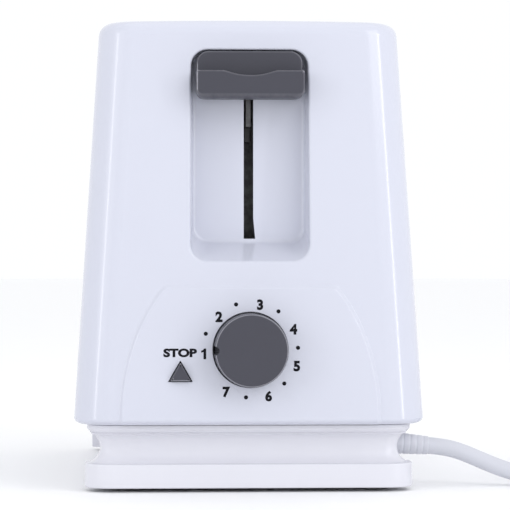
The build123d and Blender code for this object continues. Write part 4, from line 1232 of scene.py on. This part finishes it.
class TOASTER_OT_cord(bpy.types.Operator):
    """Mains lead with its strain relief, coil tie and plug"""

    bl_idname = "toaster.cord"
    bl_label = "Mains Lead"

    def execute(self, context):
        diameter = cord_mm("diameter")
        data = bpy.data.curves.new("mains_lead", "CURVE")
        data.dimensions = "3D"
        data.bevel_depth = diameter / 2 * MM
        data.bevel_resolution = 5
        data.use_fill_caps = True
        data.resolution_u = 8
        spline = data.splines.new("NURBS")
        route = [metres(point) for point in ROUTE_OUT + coil_points() + ROUTE_PLUG]
        spline.points.add(len(route) - 1)
        spline.points.foreach_set("co", np.array([(*point, 1.0) for point in route]).ravel())
        spline.order_u = 3
        spline.use_endpoint_u = True
        lead = linked("mains_lead", data)
        data.materials.append(SHADES["cord_sheath"])
        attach(lead, "housing")
        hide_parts("mains_cord", "cord_coil", "plug_lead")
        relief = self.strain_relief()
        tie = self.coil_tie()
        plug = self.plug()
        pins = self.pins()
        return {"FINISHED"}

    def strain_relief(self):
        """Tapered sleeve with shallow rings, turned about a line that droops a little."""
        start, tip = np.array(RELIEF_START), np.array(RELIEF_TIP)
        length = np.linalg.norm(tip - start)
        along = np.linspace(0, 1, 90)
        near, far, count, deep = RELIEF_RINGS
        rings = (along > near) & (along < far)
        radius = np.interp(along, (0, 1), RELIEF_RADIUS)
        radius -= deep * rings * np.clip(np.sin((along - near) * 2 * pi * count), 0, 1) ** 2
        profile = np.concatenate(([[3.2, 0.0]], np.stack((radius, along * length), -1),
                                  [[3.75, length + 0.25], [3.45, length + 0.3], [3.45, length - 2]]))
        turn = full_turn(40)
        axis = (tip - start) / length
        side = np.array([0.0, 1.0, 0.0])
        up = np.cross(axis, side)
        points = (start + profile[:, 1, None, None] * axis
                  + profile[:, 0, None, None] * (np.cos(turn)[None, :, None] * side
                                                 + np.sin(turn)[None, :, None] * up))
        skin = Skin()
        skin.grid(points, close=True)
        turned(skin, smoothed(RELIEF_COLLAR, 0.5), (0, *RELIEF_START[1:]), axis="x", steps=48)
        piece = skin.made("cord_strain_relief", "housing", "cord_sheath", "plug_moulding",
                          sharp=50.0, orient=True)
        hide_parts("strain_relief")
        return piece

    def coil_tie(self):
        """Flat strip closed round both turns of the coil: a rounded loop carried along a short
        width, on the far side of the coil."""
        diameter = cord_mm("diameter")
        place = (COIL_CENTRE[0], COIL_CENTRE[1] + cord_mm("coil_radius"))
        loop = even(rounded_polygon([(-4.1, 0.05), (4.1, 0.05), (4.1, 2 * diameter + 0.7),
                                     (-4.1, 2 * diameter + 0.7)], [3.6] * 4), 0.8)
        normals = outward(loop)
        skin = Skin()
        rows = []
        for width, inset in ((-3, 0.9), (-3, 0.2), (-2.8, 0), (2.8, 0), (3, 0.2), (3, 0.9)):
            y, z = (loop - inset * normals).T
            rows.append(np.stack((0 * y + place[0] + width, place[1] + y, z), -1))
        skin.grid(np.stack(rows), close=True)
        skin.grid(np.stack((rows[-1], rows[0])), close=True)
        return skin.made("cord_tie", "housing", "cord_sheath", "tie_strip", orient=True)

    def plug(self):
        """Round headed plug: a turned profile with a ribbed grip and a ringed sleeve."""
        start, end, wide, narrow = PLUG_GRIP
        share = np.linspace(0, 1, 60)
        ribs = 0.45 * np.sin(share * 2 * pi * 7) * (share < 0.93)
        grip = np.stack((wide + (narrow - wide) * share ** 0.8 + ribs, start + (end - start) * share), -1)
        start, end, wide, narrow = PLUG_SLEEVE
        share = np.linspace(0, 1, 70)
        grooves = 0.45 * (np.sin(share * 2 * pi * 6.5) > 0.2) * (share < 0.92)
        sleeve = np.stack((wide + (narrow - wide) * share - grooves, start + (end - start) * share), -1)
        profile = np.concatenate((smoothed(PLUG_HEAD, 0.7), grip, sleeve, [[3.7, end - 0.3], [3.4, end + 1]]))
        skin = Skin()
        turned(skin, profile, (PLUG_AXIS[0], PLUG_FACE, PLUG_AXIS[2]), steps=120)
        piece = skin.made("mains_plug", "housing", "plug_moulding", sharp=40.0, orient=True)
        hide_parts("plug_body")
        return piece

    def pins(self):
        """Two turned pins with rounded tips."""
        skin = Skin()
        for x in (PLUG_AXIS[0] - PIN_X, PLUG_AXIS[0] + PIN_X):
            turned(skin, smoothed(PIN, 0.7), (x, PLUG_FACE, PLUG_AXIS[2]), steps=32)
        piece = skin.made("mains_plug_pins", "housing", "plated_pins", sharp=50.0, orient=True)
        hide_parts("plug_pins")
        return piece


# ---------------------------------------------------------------- operators for the pieces
class TOASTER_OT_casing(bpy.types.Operator):
    """Casing with its slots, recess and raised panel"""

    bl_idname = "toaster.casing"
    bl_label = "Casing"

    def execute(self, context):
        piece = casing_surface().made("casing", "housing", "white_shell",
                                      wall=body_mm("wall"), sharp=32.0)
        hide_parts("outer_shell")
        return {"FINISHED"}


class TOASTER_OT_base(bpy.types.Operator):
    """Base with its cove and moulding, and the four feet"""

    bl_idname = "toaster.base"
    bl_label = "Base and Feet"

    def execute(self, context):
        piece = base_surface().made("base", "housing", "white_base",
                                    wall=body_mm("wall"), sharp=32.0)
        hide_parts("base_housing")
        share = np.linspace(0, 1, 9)
        flank = 4.1 + 1.5 * (share - np.sin(2 * pi * share) / (2 * pi) * 0.7)
        profile = np.concatenate(([[0.0, 0.0]], np.stack((flank, share * BLOCK_LOW), -1), [[0.0, BLOCK_LOW]]))
        for end, y in (("front", -FOOT[1]), ("rear", FOOT[1])):
            for hand, x in (("left", -FOOT[0]), ("right", FOOT[0])):
                skin = Skin()
                turned(skin, profile, (x, y, 0.0), axis="z", steps=48)
                foot = skin.made(f"{end}_{hand}_foot", "housing", "foot_rubber", "white_foot",
                                 sharp=60.0, orient=True)
                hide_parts(f"foot_{end}_{hand}")
        return {"FINISHED"}


LEVER_HALF = 22.3
LEVER_LOW = 162.6
LEVER_LEDGE = 174.2
LEVER_TOP = 182.8
LEVER_PLANES = (-132.5, -122.0, -114.0)
SCOOP = (11.2, 2.0)


class TOASTER_OT_lever(bpy.types.Operator):
    """Finger lever: an upright plate and a deep lip dished in the middle"""

    bl_idname = "toaster.lever"
    bl_label = "Lever"

    def execute(self, context):
        skin = Skin()
        lip_front, plate_front, plate_back = LEVER_PLANES
        corners = [(-LEVER_HALF + 0.3, LEVER_LOW + 0.4), (LEVER_HALF - 0.3, LEVER_LOW + 0.4),
                   (LEVER_HALF - 0.3, LEVER_TOP), (-LEVER_HALF + 0.3, LEVER_TOP)]
        plate = even(rounded_polygon(corners, [3.3, 3.3, 5.0, 5.0], 12), 0.6)
        slab(skin, plate, plate_front, plate_back, 0.7, 0.4)
        corners = [(-LEVER_HALF, LEVER_LOW), (LEVER_HALF, LEVER_LOW), (LEVER_HALF, LEVER_LEDGE),
                   (-LEVER_HALF, LEVER_LEDGE)]
        lip = even(rounded_polygon(corners, [3.6, 3.6, 0.7, 0.7], 12), 0.45)
        reach = np.clip(np.abs(lip[:, 0]) / SCOOP[0], 0, 1)
        upper = lip[:, 1] > LEVER_LEDGE - 1.0
        lip[:, 1] -= SCOOP[1] * (1 - reach ** 2.2) ** 1.3 * upper
        low_share = np.clip(-outward(lip)[:, 1], 0, 1)
        slab(skin, lip, lip_front, plate_front + 1.0, 0.75 + 1.7 * low_share ** 2, 0.3)
        piece = skin.made("lever_finger_piece", "carriage", "grey_plastic",
                          sharp=40.0, orient=True)
        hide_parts("lever_knob")
        return {"FINISHED"}


NOTCH = (1.9, 1.8)
NOTCH_LENGTH = 15.0
# Offsets from the knob's rim of the narrow bevel, which also bounds the painted highlight.
EDGE_LINE = (0.25, 0.6)


class TOASTER_OT_controls(bpy.types.Operator):
    """Browning knob and stop button"""

    bl_idname = "toaster.controls"
    bl_label = "Knob and Button"

    def execute(self, context):
        self.knob()
        self.button()
        return {"FINISHED"}

    def knob(self):
        """Turned knob with a bevelled rim; a round notch is cut in its rim as a limit on the
        radius, deepest at the face and running out along the side."""
        radius = control_mm("knob_radius")
        low = KNOB_HIGH.y / MM - BODY_Y
        face = [(0.0, KNOB_FRONT), (6.0, KNOB_FRONT + 0.02), (radius - 3.4, KNOB_FRONT + 0.07),
                (radius - 2.8, KNOB_FRONT + 0.08), (radius - 2.3, KNOB_FRONT + 0.09),
                (radius - 1.6, KNOB_FRONT + 0.1), (radius - EDGE_LINE[1], KNOB_FRONT + 0.12),
                (radius - EDGE_LINE[0], KNOB_FRONT + 0.55), (radius - 0.06, KNOB_FRONT + 1.1),
                (radius, KNOB_FRONT + 2.2), (radius, KNOB_FRONT + 4.5), (radius, KNOB_FRONT + NOTCH_LENGTH),
                (radius, low), (3.2, low), (0.0, low)]
        profile = smoothed(face, 0.15)
        turn = np.concatenate((np.linspace(0, pi - 0.2, 70, endpoint=False),
                               np.linspace(pi - 0.2, pi + 0.2, 61),
                               np.linspace(pi + 0.2, 2 * pi, 70, endpoint=False)[1:]))

        def notched(angle, along):
            off = radius * (np.abs(angle - pi))
            depth = NOTCH[0] * np.sqrt(np.clip(1 - (off / NOTCH[1]) ** 2, 0, 1))
            fade = np.clip((KNOB_FRONT + NOTCH_LENGTH - along) / 2.0, 0, 1)
            return radius + 0.001 - depth * fade

        skin = Skin()
        turned(skin, profile, (0.0, 0.0, KNOB_Z), turn=turn, limit=notched)
        piece = skin.made("browning_dial", "browning_control", "grey_plastic", "knob_plastic",
                          sharp=36.0, orient=True)
        self.bright_edge(piece, radius)
        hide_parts("browning_knob")

    def bright_edge(self, piece, radius):
        """Gives the narrow bevel round the knob's face its own glossier finish, lighter in colour as a
        painted highlight, and paints the notch's faces in dark ink as painted shade."""
        mesh = piece.data
        mesh.materials.append(SHADES["painted_highlight_edge"])
        mesh.materials.append(SHADES["printed_ink"])
        centres = np.empty(len(mesh.polygons) * 3)
        mesh.polygons.foreach_get("center", centres)
        x, y, z = (centres.reshape(-1, 3) / MM).T
        off = radius - np.hypot(x, z - KNOB_Z)
        # faces of the narrow bevel get the lighter finish: a painted highlight
        near = (off > EDGE_LINE[0] - 0.05) & (off < EDGE_LINE[1] + 0.02) & (y - BODY_Y < KNOB_FRONT + 0.8)
        # faces inside the notch get the dark ink: painted shade in the groove
        notch_shade = (off > 0.15) & (np.abs(z - KNOB_Z) < NOTCH[1]) & (x < 0) & (y - BODY_Y > KNOB_FRONT + 0.2)
        mesh.polygons.foreach_set("material_index", np.where(notch_shade, 2, near).astype(np.int32))

    def button(self):
        """Triangular button: a slab with rounded edges, a flange and a stem behind it."""
        low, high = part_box("stop_button")
        front = low.y / MM - BODY_Y
        back = high.y / MM - BODY_Y
        inside = front_face(STOP_Z) + 3.6
        skin = Skin()
        slab(skin, stop_outline(0.0, 0.25), front, inside, 0.6, 0.2)
        slab(skin, stop_outline(1.2, 0.4), inside, inside + 0.9, 0.2, 0.2)
        stem = smoothed([(0.0, inside + 0.8), (1.8, inside + 0.8), (1.8, back), (0.0, back)], 0.3)
        turned(skin, stem, (STOP_X, 0.0, STOP_Z), steps=24)
        piece = skin.made("stop_press_button", "stop_control", "grey_plastic",
                          sharp=36.0, orient=True)
        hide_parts("stop_button")


DIGIT_ANGLES = (182.7, 133.1, 79.5, 27.8, -17.9, -69.1, -122.1)
DIGIT_CENTRE = (0.4, -0.7)
DOT_ANGLES = (160.2, 107.6, 53.8, 2.4, -45.0, -95.7)
SCALE_RADIUS = 19.6
DOT_RADIUS = 0.85
WORD_PLACE = (-29.0, 57.9)
WORD_WIDTH = 13.8
INK = 0.05


class TOASTER_OT_scale(bpy.types.Operator):
    """Printed browning scale and the word over the button"""

    bl_idname = "toaster.scale"
    bl_label = "Printed Scale"

    def execute(self, context):
        skin = Skin()
        marks = []
        for number, turn in enumerate(DIGIT_ANGLES, 1):
            place = (DIGIT_CENTRE[0] + SCALE_RADIUS * cos(radians(turn)),
                     KNOB_Z + DIGIT_CENTRE[1] + SCALE_RADIUS * sin(radians(turn)))
            marks.append((str(number), place, control_mm("digit_height"), None))
        marks.append(("STOP", WORD_PLACE, control_mm("word_height"), WORD_WIDTH))
        for text, place, height, width in marks:
            if text == "1":
                self.solid(skin, self.one(place, height))
            else:
                self.letter(skin, text, place, height, width)
        turn = np.radians(DOT_ANGLES)
        for x, z in np.stack((SCALE_RADIUS * np.cos(turn), KNOB_Z + SCALE_RADIUS * np.sin(turn)), -1):
            ring = circle(x, z, DOT_RADIUS, 28)
            self.solid(skin, ring)
        skin.made("printed_scale", "housing", "grey_plastic", "printed_ink", sharp=30.0)
        return {"FINISHED"}

    def one(self, place, height):
        """Outline of the number one: an upright bar with a short slanting flag."""
        shape = np.array([(-0.05, -0.5), (0.2, -0.5), (0.2, 0.5), (0.0, 0.5), (-0.09, 0.36), (-0.27, 0.29),
                          (-0.27, 0.11), (-0.05, 0.18)])
        return shape * height + place

    def lifted(self, flat, rise):
        return on_front(body_mm("panel_raise") + rise)(flat)

    def solid(self, skin, ring):
        """Thin disc of ink standing on the panel."""
        skin.grid(np.stack((self.lifted(ring, -0.02), self.lifted(ring, INK))), close=True)
        skin.cap(self.lifted(ring, INK))
        skin.cap(self.lifted(ring, -0.02), flip=True)

    def letter(self, skin, text, place, height, width):
        """Outline of a character as a thin solid: made flat and mesh first, then scaled to its
        height and width and lifted onto the leaning panel."""
        data = bpy.data.curves.new("mark", "FONT")
        data.body = text
        data.offset = 0.052
        data.extrude = 0.5
        data.resolution_u = 5
        holder = linked("mark", data)
        bpy.context.view_layer.update()
        graph = bpy.context.evaluated_depsgraph_get()
        mesh = bpy.data.meshes.new_from_object(holder.evaluated_get(graph))
        points = np.empty(len(mesh.vertices) * 3)
        mesh.vertices.foreach_get("co", points)
        points = points.reshape(-1, 3)
        low, high = points.min(0), points.max(0)
        tall = height / (high[1] - low[1])
        wide = tall if width is None else width / (high[0] - low[0])
        middle = (low + high) / 2
        flat = (points[:, :2] - middle[:2]) * (wide, tall) + place
        rise = np.where(points[:, 2] > 0, INK, -0.02)
        skin.points.append(self.lifted(flat, rise))
        skin.faces += [[skin.count + corner for corner in face.vertices] for face in mesh.polygons]
        skin.count += len(flat)
        bpy.data.objects.remove(holder)
        bpy.data.curves.remove(data)
        bpy.data.meshes.remove(mesh)


SPRING = (18.0, -95.0, 4.0, 0.5)
SPRING_RANGE = (26.6, 133.4)
SPRING_TURNS = 13


class TOASTER_OT_spring(bpy.types.Operator):
    """Return spring round the guide rod"""

    bl_idname = "toaster.spring"
    bl_label = "Return Spring"

    def execute(self, context):
        x, y, radius, wire = SPRING
        steps = SPRING_TURNS * 24
        turn = np.linspace(0, 2 * pi * SPRING_TURNS, steps + 1)[:, None]
        low, high = SPRING_RANGE
        rise = low + (high - low) * turn / turn[-1]
        around = full_turn(8)[None, :]
        pitch = (high - low) / turn[-1, 0]
        tilt = np.hypot(radius, pitch)
        out = wire * np.cos(around)
        lift = wire * np.sin(around)
        points = np.stack((
            x + (radius + out) * np.cos(turn) + lift * np.sin(turn) * pitch / tilt,
            y + (radius + out) * np.sin(turn) - lift * np.cos(turn) * pitch / tilt,
            rise + lift * radius / tilt), -1)
        skin = Skin()
        skin.grid(points, close=True)
        skin.cap(points[0], flip=True)
        skin.cap(points[-1])
        piece = skin.made("carriage_return_spring", "housing", "spring_steel",
                          sharp=60.0, orient=True)
        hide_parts("return_spring")
        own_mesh(piece)
        return {"FINISHED"}


class TOASTER_OT_inside(bpy.types.Operator):
    """Finishes of the mechanism, the chassis and the electrics"""

    bl_idname = "toaster.inside"
    bl_label = "Inside Finishes"

    def execute(self, context):
        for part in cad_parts.values():
            for place in part.material_slots:
                finish = place.material.name.split(".")[0] if place.material else "zinc_steel"
                place.material = SHADES.get(finish, SHADES["zinc_steel"])
        return {"FINISHED"}


class TOASTER_OT_stage(bpy.types.Operator):
    """Floor, soft lights and camera"""

    bl_idname = "toaster.stage"
    bl_label = "Stage"

    def execute(self, context):
        sizes = context.scene.toaster_stage
        self.camera(context, sizes)
        self.floor(context)
        for name, place, width, height, power in (
                ("key_light", (0.85, -1.15, 0.85), 0.9, 0.9, sizes.key),
                ("fill_light", (-1.1, -0.9, 0.55), 0.8, 0.8, sizes.fill),
                ("right_strip", (1.45, -1.15, 0.35), 0.10, 1.0, sizes.strip),
                ("left_strip", (-1.55, -1.15, 0.35), 0.10, 1.0, sizes.strip * 0.7),
                ("top_light", (0.1, 0.1, 1.5), 1.1, 1.1, sizes.top)):
            data = bpy.data.lights.new(name, "AREA")
            data.shape = "RECTANGLE"
            data.size = width
            data.size_y = height
            data.energy = power
            lamp = linked(name, data)
            lamp.location = place
            aim = Vector((0, 0, 0.09)) - Vector(place)
            lamp.rotation_euler = aim.to_track_quat("-Z", "Y").to_euler()
        world = bpy.data.worlds.new("surround")
        world.use_nodes = True
        back = world.node_tree.nodes["Background"]
        back.inputs["Color"].default_value = (0.97, 0.98, 1.0, 1.0)
        back.inputs["Strength"].default_value = sizes.sky
        context.scene.world = world
        context.scene.view_settings.view_transform = "Standard"
        return {"FINISHED"}

    def camera(self, context, sizes):
        """Level camera before the front face, a little to the left of the middle."""
        data = bpy.data.cameras.new("camera")
        data.lens = sizes.lens
        data.sensor_width = 36.0
        data.shift_y = -0.004
        data.clip_start = 0.05
        data.clip_end = 60.0
        camera = linked("camera", data)
        place = metres((-50.0, front_face(99.0) - sizes.distance / MM, 99.0))
        aim = metres((2.0, front_face(99.0), 99.0)) - place
        camera.location = place
        camera.rotation_euler = aim.to_track_quat("-Z", "Y").to_euler()
        context.scene.camera = camera

    def floor(self, context):
        """Round floor: rings of growing radius, level all over."""
        radius = np.linspace(0, 1, 14)[:, None] ** 2 * 9.0
        turn = full_turn(64)[None, :]
        points = np.stack((radius * np.cos(turn), radius * np.sin(turn), 0 * radius * turn), -1)
        rows, columns = points.shape[:2]
        index = np.arange(rows * columns).reshape(rows, columns)
        index = np.concatenate((index, index[:, :1]), 1)
        quads = np.stack((index[:-1, :-1], index[1:, :-1], index[1:, 1:], index[:-1, 1:]), -1).reshape(-1, 4)
        mesh = bpy.data.meshes.new("floor")
        mesh.from_pydata(points.reshape(-1, 3).tolist(), [], quads.tolist())
        work = bmesh.new()
        work.from_mesh(mesh)
        bmesh.ops.remove_doubles(work, verts=work.verts, dist=0.0001)
        work.to_mesh(mesh)
        work.free()
        floor = linked("floor", mesh)
        floor.data.materials.append(plastic("pale_floor", colour("floor"), grain=900.0, peel=120.0,
                                            roughness=0.6, drift=0.015, bump=0.05))


class TOASTER_PT_panel(bpy.types.Panel):
    """Toaster pieces in the sidebar"""

    bl_label = "Toaster"
    bl_idname = "TOASTER_PT_panel"
    bl_space_type = "VIEW_3D"
    bl_region_type = "UI"
    bl_category = "Toaster"

    def draw(self, context):
        for piece in PIECES:
            self.layout.operator(piece.bl_idname)


PIECES = (TOASTER_OT_stage, TOASTER_OT_cord, TOASTER_OT_casing, TOASTER_OT_base, TOASTER_OT_lever,
          TOASTER_OT_controls, TOASTER_OT_scale, TOASTER_OT_spring, TOASTER_OT_inside)
CLASSES = (*GROUPS.values(), *PIECES, TOASTER_PT_panel)


def register():
    for kind in CLASSES:
        bpy.utils.register_class(kind)
    for name, kind in GROUPS.items():
        setattr(bpy.types.Scene, name, PointerProperty(type=kind))


def unregister():
    for name in GROUPS:
        delattr(bpy.types.Scene, name)
    for kind in reversed(CLASSES):
        bpy.utils.unregister_class(kind)


def main():
    register()
    for build in (moulded_group, edge_group, drawn_group, dust_group):
        build()
    SHADES.update(make_materials())
    for piece in PIECES:
        area, name = piece.bl_idname.split(".")
        getattr(getattr(bpy.ops, area), name)()


if __name__ == "__main__":
    main()
